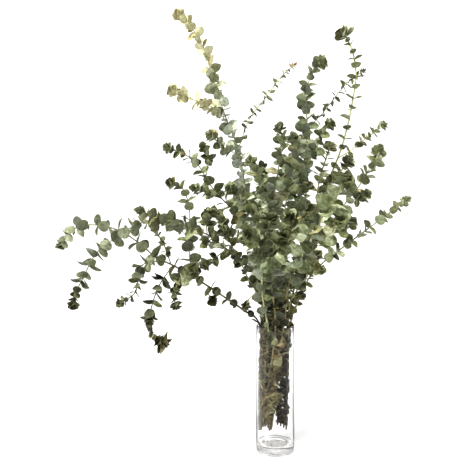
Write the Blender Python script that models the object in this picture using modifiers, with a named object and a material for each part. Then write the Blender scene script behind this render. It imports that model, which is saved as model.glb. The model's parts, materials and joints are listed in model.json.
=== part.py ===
"""A bunch of cut eucalyptus branches standing in a clear glass cylinder vase.

Metres, +Z up. The origin is the centre of the vase's underside, +X is to the right and -Y is to the front.
Each branch is one grown piece: a woody stem, its side twigs and their opposite pairs of round leaves.
Every branch stands in the vase with its foot near the wall, leaves through the mouth and fans out above it.
"""

import math
import random

import bmesh
import bpy
from mathutils import Vector
from mathutils.bvhtree import BVHTree
from mathutils.kdtree import KDTree

MM = 0.001

# The vase
VASE_HEIGHT = 300 * MM
VASE_RADIUS = 46 * MM
VASE_WALL = 3.5 * MM
VASE_FLOOR = 20 * MM
VASE_INNER = VASE_RADIUS - VASE_WALL
VASE_EDGE = 2.5 * MM
VASE_SIDES = 40

# Stems: a branch tapers from its cut foot to its tip, a twig from its fork to its tip
FOOT_RADIUS = 2.9 * MM
FORK_RADIUS = 1.8 * MM
FORK_SHARE = 0.68
TIP_RADIUS = 1.2 * MM
TAPER = 0.8
STEM_GAP = 2.6 * MM
FOOT_GAP = 0.3 * MM
FOOT_RISE = 48 * MM
FOOT_SLANT = 0.36
FOOT_STEP = 4 * MM
FOOT_LEVELS = 4
# Feet stand round the back and left of the vase, in two groups and in the order of their places at the mouth
MOUTH_CUT = 315
FIRST_FOOT = 40
FOOT_TURN = 12.1
RIGHT_FEET = 4
CURVE_STEP = 5 * MM
MOST_SAG = 2.0 * MM
CORNERS = 4
BEND_ROUNDS = 60
BEND_SHARE = 1.1
BEND_SPREAD = 4

# Leaves sit in opposite pairs, each pair turned a quarter from the last
PAIR_STEP = 25 * MM
TIP_STEP = 10 * MM
TIP_LENGTH = 90 * MM
FOOT_BARE = 45 * MM
FORK_BARE = 18 * MM
EVERY = 3
EVERY_IN_VASE = 6
ROOT_HEIGHT = 1.0 * MM
BLADE = 0.8 * MM
BLADE_GAP = 0.35 * MM
ROOM_SIDES = 6

# How a pair is set, in degrees: swing round the stem, lift towards the tip and twist out of square.
# Leaves to the side stand out from the stem, and those that point at the viewer or away lie along it
TRIES = 14
SWING, SWING_STEP, MOST_SWING = 12, 3, 40
SIDE_LIFT, FACING_LIFT, LIFT_SPREAD = 17, 58, 12
TIP_LIFT, MOST_LIFT = 16, 80
TURN_SHARES = (0.4, 1.35)
MOST_TURN = 78
SIZE_SHARES = (0.9, 1.1)
SIZE_STEP = 0.022
TIP_SIZE = 0.6
# Leaves in the vase are folded up along the stem by the glass
FOLDED_LIFT = 58
FOLDED_SHARE = 0.3
FOLDED_SIZE = 0.9
# Leaves are smaller near the mouth of the vase, up to a height where they are full
NECK_SIZE = 0.64
NECK_TOP = 460 * MM
# Sections of a leaf: the share of its length from the stem, and half its width there as such a share too
NEAR_STEM = [(0.0, 0.07), (0.14, 0.25)]
OUTLINE = [(0.30, 0.45), (0.72, 0.43), (1.0, 0.0)]
ARCH = 0.16

# The place that the fan of branches is drawn from: in front of the vase, a little to the left, at mid height
EYE = Vector((-97, -1150, 489)) * MM

GREY_GREEN = (0.150, 0.195, 0.130)
DARK_GREEN = (0.075, 0.120, 0.060)
PALE_GREEN = (0.330, 0.330, 0.130)
GLASS_TINT = (0.93, 0.96, 0.95)

# A way is (x, z, depth) in mm: x and z as seen on the vase's own plane, and depth behind that plane.
# rim is the place in the vase's mouth: the distance from its axis in mm, and the angle from +X in degrees.
# leaf is the length of a full-grown leaf in mm, and turn is how far it is twisted out of square to the stem.
# sizes are the leaf lengths on single twigs, by their number, counted from 1.
# facing_lift takes the place of FACING_LIFT on a branch whose leaves stand level all round.
BRANCHES = [
    {
        "name": "pale_crown", "rim": (15, 160), "leaf": 28, "turn": 60, "sizes": {2: 14},
        "colour": PALE_GREEN,
        "way": [(-42, 433, 10), (-49, 517, 25), (-54, 590, 35), (-73, 638, 45), (-88, 722, 55),
                (-124, 814, 60), (-155, 915, 60), (-180, 982, 52), (-207, 1024, 46), (-235, 1053, 40)],
        "twigs": [
            [(-112, 792, 58), (-153, 826, 40), (-201, 845, 20), (-251, 869, 5)],
            [(-85, 725, 55), (-61, 799, 70), (-22, 850, 85), (16, 901, 95), (50, 930, 100)],
            [(-95, 705, 53), (-128, 732, 20), (-157, 761, 0)],
            [(-52, 587, 35), (-78, 611, -10), (-112, 631, -30)],
            [(-50, 530, 27), (-32, 602, 5), (-30, 655, -5)],
        ],
    },
    {
        "name": "left_arch", "rim": (38, 186), "leaf": 28, "turn": 30,
        "sizes": {2: 31, 3: 16, 4: 30, 5: 25, 8: 34},
        "colour": GREY_GREEN,
        "way": [(-78, 337, -15), (-126, 370, -30), (-170, 399, -45), (-206, 421, -55), (-244, 443, -65),
                (-288, 464, -75), (-326, 496, -80), (-370, 525, -80), (-418, 540, -75), (-466, 540, -65),
                (-500, 521, -60), (-519, 491, -55)],
        "twigs": [
            [(-201, 416, -54), (-206, 462, -30), (-211, 510, -20), (-206, 566, -15), (-213, 607, -15),
             (-227, 633, -20), (-256, 645, -25)],
            [(-211, 510, -20), (-239, 544, -10), (-288, 554, 0), (-341, 539, 10), (-394, 505, 15),
             (-435, 469, 15), (-461, 419, 10), (-480, 380, 5), (-488, 344, 0)],
            [(-249, 448, -66), (-268, 493, -90), (-288, 525, -105), (-302, 548, -110)],
            [(-251, 440, -66), (-278, 399, -80), (-297, 349, -90), (-304, 308, -95), (-295, 274, -98),
             (-268, 255, -100)],
            [(-273, 457, -72), (-302, 452, -95), (-326, 440, -110), (-331, 406, -118), (-341, 375, -120),
             (-379, 351, -120)],
            [(-220, 426, -58), (-237, 397, -80), (-244, 366, -92), (-237, 344, -98)],
            [(-162, 394, -42), (-160, 373, -60), (-148, 354, -72)],
            [(-206, 421, -55), (-205, 425, -85), (-203, 429, -115), (-200, 433, -140)],
        ],
    },
    {
        "name": "left_mid", "rim": (34, 212), "leaf": 28, "turn": 38,
        "colour": GREY_GREEN,
        "way": [(-32, 385, -50), (-51, 423, -70), (-92, 467, -95), (-124, 488, -110), (-150, 510, -120),
                (-182, 527, -128), (-215, 539, -132), (-254, 551, -135), (-290, 558, -135), (-326, 578, -130)],
        "twigs": [
            [(-119, 481, -108), (-148, 460, -120), (-174, 443, -128)],
            [(-165, 520, -124), (-165, 549, -140), (-150, 575, -150)],
            [(-92, 467, -95), (-118, 520, -130), (-128, 555, -150)],
            [(-150, 510, -120), (-168, 497, -143)],
        ],
    },
    {
        "name": "left_upper", "rim": (34, 152), "leaf": 27, "turn": 45, "sizes": {3: 32},
        "colour": GREY_GREEN,
        "way": [(-32, 421, 20), (-61, 505, 30), (-95, 570, 30), (-126, 602, 25), (-148, 626, 20),
                (-167, 655, 15), (-186, 686, 10), (-215, 710, 5), (-264, 730, 0)],
        "twigs": [
            [(-128, 604, 25), (-157, 616, -5), (-196, 631, -20)],
            [(-172, 664, 12), (-160, 698, 0), (-174, 732, -5)],
            [(-110, 588, 28), (-138, 573, 5), (-165, 568, -10)],
        ],
    },
    {
        "name": "centre_left", "rim": (15, 232), "leaf": 29, "turn": 50,
        "colour": GREY_GREEN,
        "way": [(-13, 433, -30), (-10, 517, -50), (-3, 602, -65), (9, 686, -75), (18, 740, -75), (11, 780, -70)],
        "twigs": [
            [(-6, 590, -63), (-32, 626, -90), (-47, 669, -100), (-60, 700, -100)],
            [(2, 638, -70), (35, 679, -95), (50, 722, -105), (45, 756, -105)],
            [(-8, 541, -55), (-42, 566, -95), (-66, 580, -110)],
        ],
    },
    {
        "name": "centre_up", "rim": (15, 304), "leaf": 28, "turn": 60, "sizes": {1: 14, 2: 24},
        "colour": GREY_GREEN,
        "way": [(19, 433, -15), (40, 529, -20), (60, 626, -25), (73, 710, -25), (77, 783, -25), (74, 843, -25),
                (82, 891, -30), (99, 926, -35), (117, 936, -40)],
        "twigs": [
            [(77, 771, -25), (108, 804, 0), (137, 840, 25), (166, 877, 45), (192, 899, 58), (217, 915, 64)],
            [(69, 679, -25), (98, 722, -60), (117, 771, -80), (137, 787, -85)],
            [(52, 590, -22), (31, 638, -60), (28, 690, -75)],
        ],
    },
    {
        "name": "tall_right", "rim": (15, 16), "leaf": 22, "turn": 12, "facing_lift": 20,
        "sizes": {1: 20, 2: 26, 3: 26, 4: 28},
        "colour": GREY_GREEN,
        "way": [(35, 421, 10), (67, 505, 20), (103, 590, 30), (134, 662, 35), (158, 722, 35), (175, 783, 30),
                (187, 843, 25), (195, 903, 20), (187, 959, 15), (166, 1007, 10)],
        "twigs": [
            [(151, 703, 35), (190, 727, 45), (223, 754, 50), (264, 783, 50)],
            [(120, 631, 32), (156, 669, -10), (180, 698, -20)],
            [(85, 550, 25), (72, 590, -15), (78, 640, -30)],
            [(103, 590, 30), (103, 628, 0), (112, 668, -20), (124, 706, -30), (134, 734, -35)],
        ],
    },
    {
        "name": "right_upper", "rim": (34, 22), "leaf": 30, "turn": 60, "sizes": {1: 27, 2: 32},
        "colour": GREY_GREEN,
        "way": [(52, 409, 15), (91, 481, 10), (132, 541, 0), (170, 595, -10), (199, 631, -20), (223, 669, -25),
                (243, 698, -30), (252, 725, -30)],
        "twigs": [
            [(180, 607, -12), (203, 601, -32), (222, 619, -42)],
            [(113, 512, 5), (151, 525, -25), (185, 549, -40)],
        ],
    },
    {
        "name": "right_arch", "rim": (36, 352), "leaf": 23, "turn": 38,
        "colour": GREY_GREEN,
        "way": [(52, 349, 0), (79, 409, -5), (117, 452, -10), (168, 491, -15), (223, 532, -20), (272, 568, -25),
                (320, 604, -30)],
        "twigs": [
            [(90, 424, -7), (102, 428, -38), (113, 436, -52)],
        ],
    },
    {
        "name": "front_right", "rim": (34, 300), "leaf": 34, "turn": 60,
        "colour": GREY_GREEN,
        "way": [(31, 385, -60), (55, 452, -130), (88, 517, -200), (122, 573, -250), (151, 614, -290),
                (173, 655, -310)],
        "twigs": [
            [(72, 486, -165), (50, 525, -230), (35, 566, -265)],
            [(108, 549, -228), (138, 543, -262), (158, 560, -284)],
        ],
    },
    {
        "name": "front_centre", "rim": (34, 266), "leaf": 34, "turn": 60, "sizes": {1: 21},
        "colour": GREY_GREEN,
        "way": [(-6, 373, -70), (-13, 428, -150), (-27, 469, -230), (-47, 501, -290), (-68, 522, -330)],
        "twigs": [
            [(-16, 440, -175), (-30, 438, -205), (-32, 385, -208), (-27, 345, -200), (-13, 269, -185)],
            [(-22, 460, -212), (6, 486, -270), (21, 515, -300)],
            [(-36, 486, -262), (-20, 529, -310), (-10, 560, -325)],
        ],
    },
    {
        "name": "neck_left", "rim": (36, 238), "leaf": 25, "turn": 45,
        "colour": DARK_GREEN,
        "way": [(-32, 349, -55), (-49, 385, -80), (-66, 414, -95), (-83, 450, -96), (-98, 474, -82)],
        "twigs": [
            [(-44, 378, -76), (-64, 362, -92), (-72, 341, -97)],
        ],
    },
    {
        "name": "neck_right", "rim": (36, 328), "leaf": 27, "turn": 50,
        "colour": DARK_GREEN,
        "way": [(35, 349, -45), (57, 390, -75), (79, 421, -95), (94, 448, -108), (103, 474, -114)],
        "twigs": [
            [(57, 390, -75), (67, 374, -92)],
        ],
    },
    {
        "name": "centre_back", "rim": (15, 88), "leaf": 28, "turn": 45,
        "colour": DARK_GREEN,
        "way": [(7, 433, 60), (16, 529, 100), (31, 626, 130), (45, 698, 150), (60, 751, 160)],
        "twigs": [
            [(22, 570, 113), (-13, 626, 150), (-32, 686, 170)],
            [(33, 640, 133), (72, 686, 170), (84, 736, 185)],
        ],
    },
    {
        "name": "back_left", "rim": (34, 120), "leaf": 30, "turn": 45,
        "colour": DARK_GREEN,
        "way": [(-18, 397, 60), (-44, 469, 120), (-70, 534, 180), (-85, 590, 240), (-80, 630, 280)],
        "twigs": [
            [(-50, 482, 132), (-92, 515, 160), (-128, 545, 175)],
            [(-60, 505, 152), (-40, 560, 215), (-40, 600, 250)],
        ],
    },
    {
        "name": "back_centre", "rim": (34, 88), "leaf": 31, "turn": 50,
        "colour": DARK_GREEN,
        "way": [(2, 385, 70), (2, 452, 140), (-8, 525, 210), (-18, 590, 265), (-18, 645, 300)],
        "twigs": [
            [(0, 480, 167), (23, 529, 230), (43, 573, 270)],
            [(-2, 430, 120), (10, 440, 175), (24, 425, 215)],
        ],
    },
    {
        "name": "back_right", "rim": (34, 54), "leaf": 30, "turn": 50,
        "colour": DARK_GREEN,
        "way": [(21, 390, 55), (50, 462, 115), (84, 534, 170), (113, 597, 215), (132, 650, 240)],
        "twigs": [
            [(67, 498, 145), (113, 517, 200), (146, 549, 230)],
            [(60, 485, 133), (66, 545, 200), (80, 590, 240)],
        ],
    },
]


def in_space(way_point):
    """A point of a way, moved along its line of sight to its own depth."""
    x, z, depth = (value * MM for value in way_point)
    reach = (depth - EYE.y) / -EYE.y
    return Vector((EYE.x + (x - EYE.x) * reach, depth, EYE.z + (z - EYE.z) * reach))


def on_ring(radius, degrees, height):
    angle = math.radians(degrees)
    return Vector((radius * math.cos(angle), radius * math.sin(angle), height))


def smooth(points, step):
    """Points every step along a smooth curve through the given points."""
    ends = [2 * points[0] - points[1]] + points + [2 * points[-1] - points[-2]]
    fine = []
    for before, start, end, after in zip(ends, ends[1:], ends[2:], ends[3:]):
        count = max(4, math.ceil((end - start).length / step) * 2)
        for i in range(count):
            t = i / count
            fine.append(0.5 * (2 * start + (end - before) * t
                               + (2 * before - 5 * start + 4 * end - after) * t ** 2
                               + (3 * start - before - 3 * end + after) * t ** 3))
    fine.append(points[-1])
    return evenly(fine, step)


def evenly(points, step):
    """The same line, with its points the same distance apart."""
    total = sum((b - a).length for a, b in zip(points, points[1:]))
    count = max(2, round(total / step))
    spread, wanted, run = [points[0].copy()], total / count, 0.0
    for a, b in zip(points, points[1:]):
        length = (b - a).length
        while length > 0 and run + length >= wanted * len(spread) and len(spread) < count:
            spread.append(a.lerp(b, (wanted * len(spread) - run) / length))
        run += length
    spread.append(points[-1].copy())
    return spread


class Stem:
    """A branch's stem or one of its twigs: evenly spaced points and a taper from start to tip."""

    def __init__(self, points, start, is_twig):
        self.points = points
        self.start = start
        self.is_twig = is_twig
        self.forks = []
        self.last = len(points) - 1

    def radius(self, number):
        return self.start + (TIP_RADIUS - self.start) * (number / self.last) ** TAPER

    def frames(self):
        """Square directions at each point, (along, across, third), that turn as little as they can."""
        across = Vector((0, -1, 0))
        found = []
        for before, after in zip(self.points[:1] + self.points, self.points[1:] + self.points[-1:]):
            along = (after - before).normalized()
            across = (across - across.dot(along) * along).normalized()
            found.append((along, across, along.cross(across)))
        return found

    def stations(self):
        """Places of the leaf pairs, (number from the tip, point number), closer together at the tip."""
        bare = FORK_BARE if self.is_twig else FOOT_BARE
        places, back = [], 0.0
        while back < CURVE_STEP * self.last - bare:
            places.append((len(places), self.last - max(1, round(back / CURVE_STEP))))
            back += TIP_STEP + (PAIR_STEP - TIP_STEP) * min(1, back / TIP_LENGTH)
        return places

    def leafy(self):
        """The stations whose leaves are modelled here."""
        return [(station, point) for station, point in self.stations()
                if station % (EVERY_IN_VASE if self.points[point].z < VASE_HEIGHT else EVERY) == 0]

    def stops(self):
        """Point numbers where the tube has a ring: few on a straight stretch, more on a bend."""
        stops = sorted({0, self.last, *self.forks, *(point for _, point in self.leafy())})
        for a, b in zip(stops, stops[1:]):
            stops += self.between(a, b)
        return sorted(stops)

    def between(self, a, b):
        """Rings needed between two others, for the tube to follow the bend."""
        middle = (a + b) // 2
        chord = self.points[a].lerp(self.points[b], (middle - a) / (b - a))
        if b - a < 4 or (self.points[middle] - chord).length <= MOST_SAG:
            return []
        return self.between(a, middle) + [middle] + self.between(middle, b)


def kept_in_vase(point, radius):
    """The point, brought back inside the vase's wall where it is low enough to be in it."""
    most = VASE_INNER - radius - FOOT_GAP
    away = math.hypot(point.x, point.y)
    if point.z > VASE_HEIGHT + STEM_GAP or away <= most:
        return point
    return Vector((point.x * most / away, point.y * most / away, point.z))


def bend_clear(stem, others):
    """Bends a stem away from the stems of the other branches. A twig keeps its fork where it is."""
    placed = [(point, other.radius(i)) for other in others for i, point in enumerate(other.points)]
    if not placed:
        return
    tree = KDTree(len(placed))
    for i, (place, _) in enumerate(placed):
        tree.insert(place, i)
    tree.balance()
    most = 2 * FOOT_RADIUS + STEM_GAP
    for _ in range(BEND_ROUNDS):
        shift = [Vector() for _ in stem.points]
        for i, point in enumerate(stem.points):
            for place, found, distance in tree.find_range(point, most + CURVE_STEP):
                short = stem.radius(i) + placed[found][1] + STEM_GAP - distance
                if short > 0 and (i > 1 or not stem.is_twig):
                    away = (point - place).normalized() if distance > 0 else Vector((0, 1, 0))
                    shift[i] = max(shift[i], away * short * BEND_SHARE, key=lambda move: move.length)
        if max(move.length for move in shift) < 0.1 * MM:
            break
        for _ in range(BEND_SPREAD):
            inner = [max(b, (a + 2 * b + c) / 4, key=lambda move: move.length)
                     for a, b, c in zip(shift, shift[1:], shift[2:])]
            shift = [Vector()] + inner + [shift[-1]]
        stem.points = [kept_in_vase(point + move, stem.radius(i))
                       for i, (point, move) in enumerate(zip(stem.points, shift))]


def foot_of(branch):
    """Where the cut end stands: just clear of the wall, a little above the floor and higher towards the front."""
    order = sorted(BRANCHES, key=lambda other: (other["rim"][1] - MOUTH_CUT) % 360)
    rank = order.index(branch)
    degrees = FIRST_FOOT + FOOT_TURN * (rank + (rank >= RIGHT_FEET))
    radius = VASE_INNER - FOOT_RADIUS - FOOT_GAP
    rise = FOOT_RISE - FOOT_SLANT * radius * math.sin(math.radians(degrees))
    return on_ring(radius, degrees, rise + FOOT_STEP * (rank % FOOT_LEVELS))


def laid_out():
    """By branch name: its stem followed by its twigs, with none across another branch's."""
    grown = {branch["name"]: [] for branch in BRANCHES}

    def others(name):
        return [stem for other, stems in grown.items() if other != name for stem in stems]

    for branch in BRANCHES:
        radius, degrees = branch["rim"]
        foot = foot_of(branch)
        mouth = on_ring(radius * MM, degrees, VASE_HEIGHT)
        route = [foot, foot.lerp(mouth, 0.5), mouth] + [in_space(point) for point in branch["way"]]
        stem = Stem(smooth(route, CURVE_STEP), FOOT_RADIUS, False)
        bend_clear(stem, others(branch["name"]))
        grown[branch["name"]].append(stem)
    for branch in BRANCHES:
        stems = grown[branch["name"]]
        for twig in branch["twigs"]:
            route = [in_space(point) for point in twig]
            places = [(stem, i) for stem in stems for i in range(2, stem.last - 1)]
            parent, fork = min(places, key=lambda place: (place[0].points[place[1]] - route[0]).length)
            parent.forks.append(fork)
            route[0] = parent.points[fork]
            stem = Stem(smooth(route, CURVE_STEP), min(FORK_RADIUS, FORK_SHARE * parent.radius(fork)), True)
            bend_clear(stem, others(branch["name"]))
            stems.append(stem)
    return grown


def leaf_sections(stem, look, sign, outline):
    """Sections of one leaf of a pair, from the stem outwards: (middle, half width, side, up)."""
    number = look["point"]
    along, across, third = look["frame"]
    out = (across * math.cos(look["azimuth"]) + third * math.sin(look["azimuth"])) * sign
    root = stem.points[number] + out * stem.radius(number) * math.cos(math.pi / CORNERS)
    rib = out * math.cos(look["lift"]) + along * math.sin(look["lift"])
    sheet = along.cross(out) * math.cos(look["turn"]) + along * math.sin(look["turn"])
    side = (sheet - sheet.dot(rib) * rib).normalized()
    up = rib.cross(side)
    length = look["length"]
    return [(root + rib * length * share - up * ARCH * length * share ** 2, width * length, side, up)
            for share, width in outline]


def corners_of(section, thickness):
    """The four corners of a section, (left low, right low, right high, left high), or two at a pointed end."""
    middle, half_width, side, up = section
    rise = up * thickness / 2
    if half_width == 0:
        return [middle - rise, middle + rise]
    reach = side * half_width
    return [middle - reach - rise, middle + reach - rise, middle + reach + rise, middle - reach + rise]


def loft_faces(near, far):
    """Triangles between two rings of corner numbers, split alike on the upper and the lower side."""
    if len(far) == 2:
        low, high = far
        return [(near[0], near[1], low), (near[1], near[2], high), (near[1], high, low),
                (near[2], near[3], high), (near[3], near[0], low), (near[3], low, high)]
    faces = []
    for i in range(CORNERS):
        a, b, c, d = near[i], near[(i + 1) % CORNERS], far[(i + 1) % CORNERS], far[i]
        faces += [(a, b, d), (b, c, d)] if i == 2 else [(a, b, c), (a, c, d)]
    return faces


def leaf_size(branch, number):
    """The length of a full leaf on a stem of the branch. Thin twigs have smaller leaves."""
    return branch.get("sizes", {}).get(number, branch["leaf"]) * MM


def look_of(branch, stem, number, station, point, trial, frame):
    """How one pair of leaves is set. Each further trial turns it another way and makes it smaller."""
    draw = random.Random(f"{branch['name']} {number} {station} {trial}")
    grown_share = min(1, (stem.last - point) * CURVE_STEP / TIP_LENGTH)
    swing = min(MOST_SWING, SWING + SWING_STEP * trial)
    _, across, third = frame
    azimuth = math.radians(90 * (station % 2) + draw.uniform(-swing, swing))
    out = across * math.cos(azimuth) + third * math.sin(azimuth)
    facing = out.dot((EYE - stem.points[point]).normalized()) ** 2
    lift = SIDE_LIFT + (branch.get("facing_lift", FACING_LIFT) - SIDE_LIFT) * facing
    lift += draw.uniform(-LIFT_SPREAD, LIFT_SPREAD)
    lift = min(MOST_LIFT, lift + TIP_LIFT * (1 - grown_share))
    turn = min(MOST_TURN, branch["turn"] * draw.uniform(*TURN_SHARES))
    size = draw.uniform(*SIZE_SHARES) * (1 - SIZE_STEP * trial)
    above = max(0, stem.points[point].z - VASE_HEIGHT) / (NECK_TOP - VASE_HEIGHT)
    size *= min(1, NECK_SIZE + (1 - NECK_SIZE) * above)
    if stem.points[point].z < VASE_HEIGHT + PAIR_STEP:
        lift, turn, size = FOLDED_LIFT + lift * FOLDED_SHARE, turn * FOLDED_SHARE, size * FOLDED_SIZE
    return {
        "point": point,
        "frame": frame,
        "quarter": station % 2,
        "azimuth": azimuth,
        "lift": math.radians(lift),
        "turn": math.radians(turn * draw.choice((-1, 1))),
        "length": leaf_size(branch, number) * (TIP_SIZE + (1 - TIP_SIZE) * grown_share) * size,
    }


class Room:
    """What already fills the space, so that no leaf crosses it."""

    def __init__(self):
        self.things = []

    def add(self, owner, points, faces):
        middle = sum(points, Vector()) / len(points)
        reach = max((point - middle).length for point in points)
        self.things.append((owner, middle, reach, BVHTree.FromPolygons(points, faces)))

    def is_free(self, points, faces, skipped=None):
        middle = sum(points, Vector()) / len(points)
        reach = max((point - middle).length for point in points)
        tree = BVHTree.FromPolygons(points, faces)
        return not any(owner != skipped and (middle - place).length < reach + size and tree.overlap(other)
                       for owner, place, size, other in self.things)


def leaf_mesh(sections, thickness):
    """(points, triangles) of a leaf on its own, open at its root, for the test of what is in the way."""
    points, faces, near = [], [], None
    for section in sections:
        corners = corners_of(section, thickness)
        ring = list(range(len(points), len(points) + len(corners)))
        points += corners
        if near:
            faces += loft_faces(near, ring)
        near = ring
    return points, faces


def ring_of(centre, frame, radius, azimuth, sides=CORNERS):
    """Corners of a ring square to the stem. With four, two flat sides face the azimuth and away from it."""
    _, across, third = frame
    start = azimuth - math.pi / sides
    return [centre + (across * math.cos(start + 2 * math.pi * i / sides)
                      + third * math.sin(start + 2 * math.pi * i / sides)) * radius for i in range(sides)]


def tube_mesh(rings):
    """(points, faces) of the open tube through the rings of corners."""
    sides = len(rings[0])
    points = [point for ring in rings for point in ring]
    faces = []
    for row in range(len(rings) - 1):
        for i in range(sides):
            a, b = row * sides + i, row * sides + (i + 1) % sides
            faces += [(a, b, b + sides), (a, b + sides, a + sides)]
    return points, faces


def filled_room(grown):
    """The room with every stem and the vase's wall in it."""
    room = Room()
    for name, stems in grown.items():
        for number, stem in enumerate(stems):
            frames = stem.frames()
            rings = [ring_of(stem.points[i], frames[i], stem.radius(i) + BLADE_GAP, 0, ROOM_SIDES)
                     for i in stem.stops()]
            for pair in zip(rings, rings[1:]):
                room.add((name, number), *tube_mesh(pair))
    inner, outer = VASE_INNER - BLADE_GAP, VASE_RADIUS + BLADE_GAP
    wall = [(inner, VASE_FLOOR), (inner, VASE_HEIGHT + BLADE_GAP), (outer, VASE_HEIGHT + BLADE_GAP), (outer, 0)]
    room.add("vase", *tube_mesh([[on_ring(radius, 360 * i / VASE_SIDES, height) for i in range(VASE_SIDES)]
                                 for radius, height in wall]))
    return room


def placed_pairs(grown):
    """By branch name and stem number: (look, signs) of every pair or single leaf that finds a free place."""
    room = filled_room(grown)
    fat = BLADE + 2 * BLADE_GAP
    pairs = {}
    for branch in BRANCHES:
        for number, stem in enumerate(grown[branch["name"]]):
            owner = (branch["name"], number)
            frames = stem.frames()
            kept = pairs[owner] = []
            for station, point in stem.leafy():
                best = (None, [])
                for trial in range(TRIES):
                    look = look_of(branch, stem, number, station, point, trial, frames[point])
                    signs = []
                    for sign in (1, -1):
                        whole = leaf_sections(stem, look, sign, NEAR_STEM + OUTLINE)
                        outer = leaf_sections(stem, look, sign, OUTLINE)
                        clear = room.is_free(*leaf_mesh(whole, fat), owner)
                        if clear and room.is_free(*leaf_mesh(outer, fat)):
                            signs.append(sign)
                    best = max(best, (look, signs), key=lambda found: len(found[1]))
                    if len(signs) == 2:
                        break
                look, signs = best
                for sign in signs:
                    whole = leaf_sections(stem, look, sign, NEAR_STEM + OUTLINE)
                    room.add((*owner, "leaf"), *leaf_mesh(whole, fat))
                if signs:
                    kept.append((look, signs))
    return pairs


def stem_mesh(name, stem, looks):
    """A closed mesh of one stem, with each leaf raised from a small side face between two close rings."""
    by_point = {look["point"]: (look, signs) for look, signs in looks}
    frames = stem.frames()
    points, faces, low, raised = [], [], None, {}

    def add(corners):
        points.extend(corners)
        return list(range(len(points) - len(corners), len(points)))

    def climb(ring):
        """Closes the sides between the last ring and this one, and raises the leaves that start there."""
        for side in range(CORNERS):
            near = [low[side], low[(side + 1) % CORNERS], ring[(side + 1) % CORNERS], ring[side]]
            for section in raised.get(side, []):
                far = add(corners_of(section, BLADE))
                faces.extend(loft_faces(near, far))
                near = far
            if side not in raised:
                faces.extend([(near[0], near[1], near[2]), (near[0], near[2], near[3])])

    for stop in stem.stops()[:-1]:
        look, signs = by_point.get(stop, (None, []))
        turned = look["azimuth"] - look["quarter"] * math.pi / 2 if look else 0.0
        steps = [-ROOT_HEIGHT / 2, ROOT_HEIGHT / 2] if signs else [0.0]
        for step in steps:
            centre = stem.points[stop] + frames[stop][0] * step
            ring = add(ring_of(centre, frames[stop], stem.radius(stop), turned))
            if low:
                climb(ring)
            else:
                faces.extend([(ring[2], ring[1], ring[0]), (ring[3], ring[2], ring[0])])
            low, raised = ring, {}
            if step < 0:
                for sign in signs:
                    raised[look["quarter"] + 1 - sign] = leaf_sections(stem, look, sign, OUTLINE)
    tip, = add([stem.points[-1]])
    faces.extend([(low[side], low[(side + 1) % CORNERS], tip) for side in range(CORNERS)])
    return mesh_from(name, points, faces)


def material(name, colour, roughness, metallic=0.0, transmission=0.0):
    made = bpy.data.materials.new(name)
    made.use_nodes = True
    shader = made.node_tree.nodes["Principled BSDF"]
    shader.inputs["Base Color"].default_value = (*colour, 1)
    shader.inputs["Roughness"].default_value = roughness
    shader.inputs["Metallic"].default_value = metallic
    shader.inputs["Transmission Weight"].default_value = transmission
    return made


def new_object(name, mesh, collection):
    made = bpy.data.objects.new(name, mesh)
    collection.objects.link(made)
    return made


def mesh_from(name, points, faces):
    mesh = bpy.data.meshes.new(name)
    mesh.from_pydata(points, [], faces)
    mesh.update()
    return mesh


def keep_outer_skin(mesh):
    """Leaves only the largest skin: it fills a hollow that joining sealed, and drops a loose scrap."""
    work = bmesh.new()
    work.from_mesh(mesh)
    unseen, skins = set(work.faces), []
    while unseen:
        edge_of_skin = [unseen.pop()]
        skin = list(edge_of_skin)
        while edge_of_skin:
            face = edge_of_skin.pop()
            near = {other for edge in face.edges for other in edge.link_faces} & unseen
            unseen -= near
            skin += near
            edge_of_skin += near
        skins.append(skin)
    skins.sort(key=len)
    bmesh.ops.delete(work, geom=[face for skin in skins[:-1] for face in skin], context="FACES")
    work.to_mesh(mesh)
    work.free()


def joined(base, pieces):
    """base with the pieces fused to it as one solid. The pieces are removed."""
    union = base.modifiers.new("grown_together", "BOOLEAN")
    union.operation = "UNION"
    union.operand_type = "COLLECTION"
    union.collection = pieces
    union.solver = "MANIFOLD"
    graph = bpy.context.evaluated_depsgraph_get()
    mesh = bpy.data.meshes.new_from_object(base.evaluated_get(graph))
    base.modifiers.clear()
    keep_outer_skin(mesh)
    base.data = mesh
    for piece in list(pieces.objects):
        bpy.data.objects.remove(piece)
    bpy.data.collections.remove(pieces)
    return base


def make_branch(branch, stems, pairs, collection, finish):
    """One branch: its leafy stem, with its leafy twigs fused to it."""
    name = "branch_" + branch["name"]
    pieces = bpy.data.collections.new(name + "_pieces")
    bpy.context.scene.collection.children.link(pieces)
    for number, stem in enumerate(stems[1:], 1):
        twig = f"{name}_twig_{number}"
        new_object(twig, stem_mesh(twig, stem, pairs[branch["name"], number]), pieces)
    main_stem = new_object(name, stem_mesh(name, stems[0], pairs[branch["name"], 0]), collection)
    joined(main_stem, pieces)
    main_stem.data.materials.clear()
    main_stem.data.materials.append(finish)
    return main_stem


def make_vase(collection, finish):
    """The glass cylinder: a profile turned round the axis, with rounded edges and a thick floor."""
    low, edge = VASE_FLOOR, VASE_EDGE
    lip = VASE_WALL / 2
    profile = [(0, low), (VASE_INNER - edge, low), (VASE_INNER, low + edge), (VASE_INNER, VASE_HEIGHT - lip),
               (VASE_INNER + lip, VASE_HEIGHT), (VASE_RADIUS, VASE_HEIGHT - lip), (VASE_RADIUS, edge),
               (VASE_RADIUS - edge, 0), (0, 0)]
    mesh = bpy.data.meshes.new("vase")
    mesh.from_pydata([(x, 0, z) for x, z in profile], [(i, i + 1) for i in range(len(profile) - 1)], [])
    vase = new_object("vase", mesh, collection)
    turned = vase.modifiers.new("turned", "SCREW")
    turned.steps = turned.render_steps = VASE_SIDES
    turned.use_merge_vertices = True
    turned.merge_threshold = 0.00001
    vase.data.materials.append(finish)
    return vase


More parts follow.
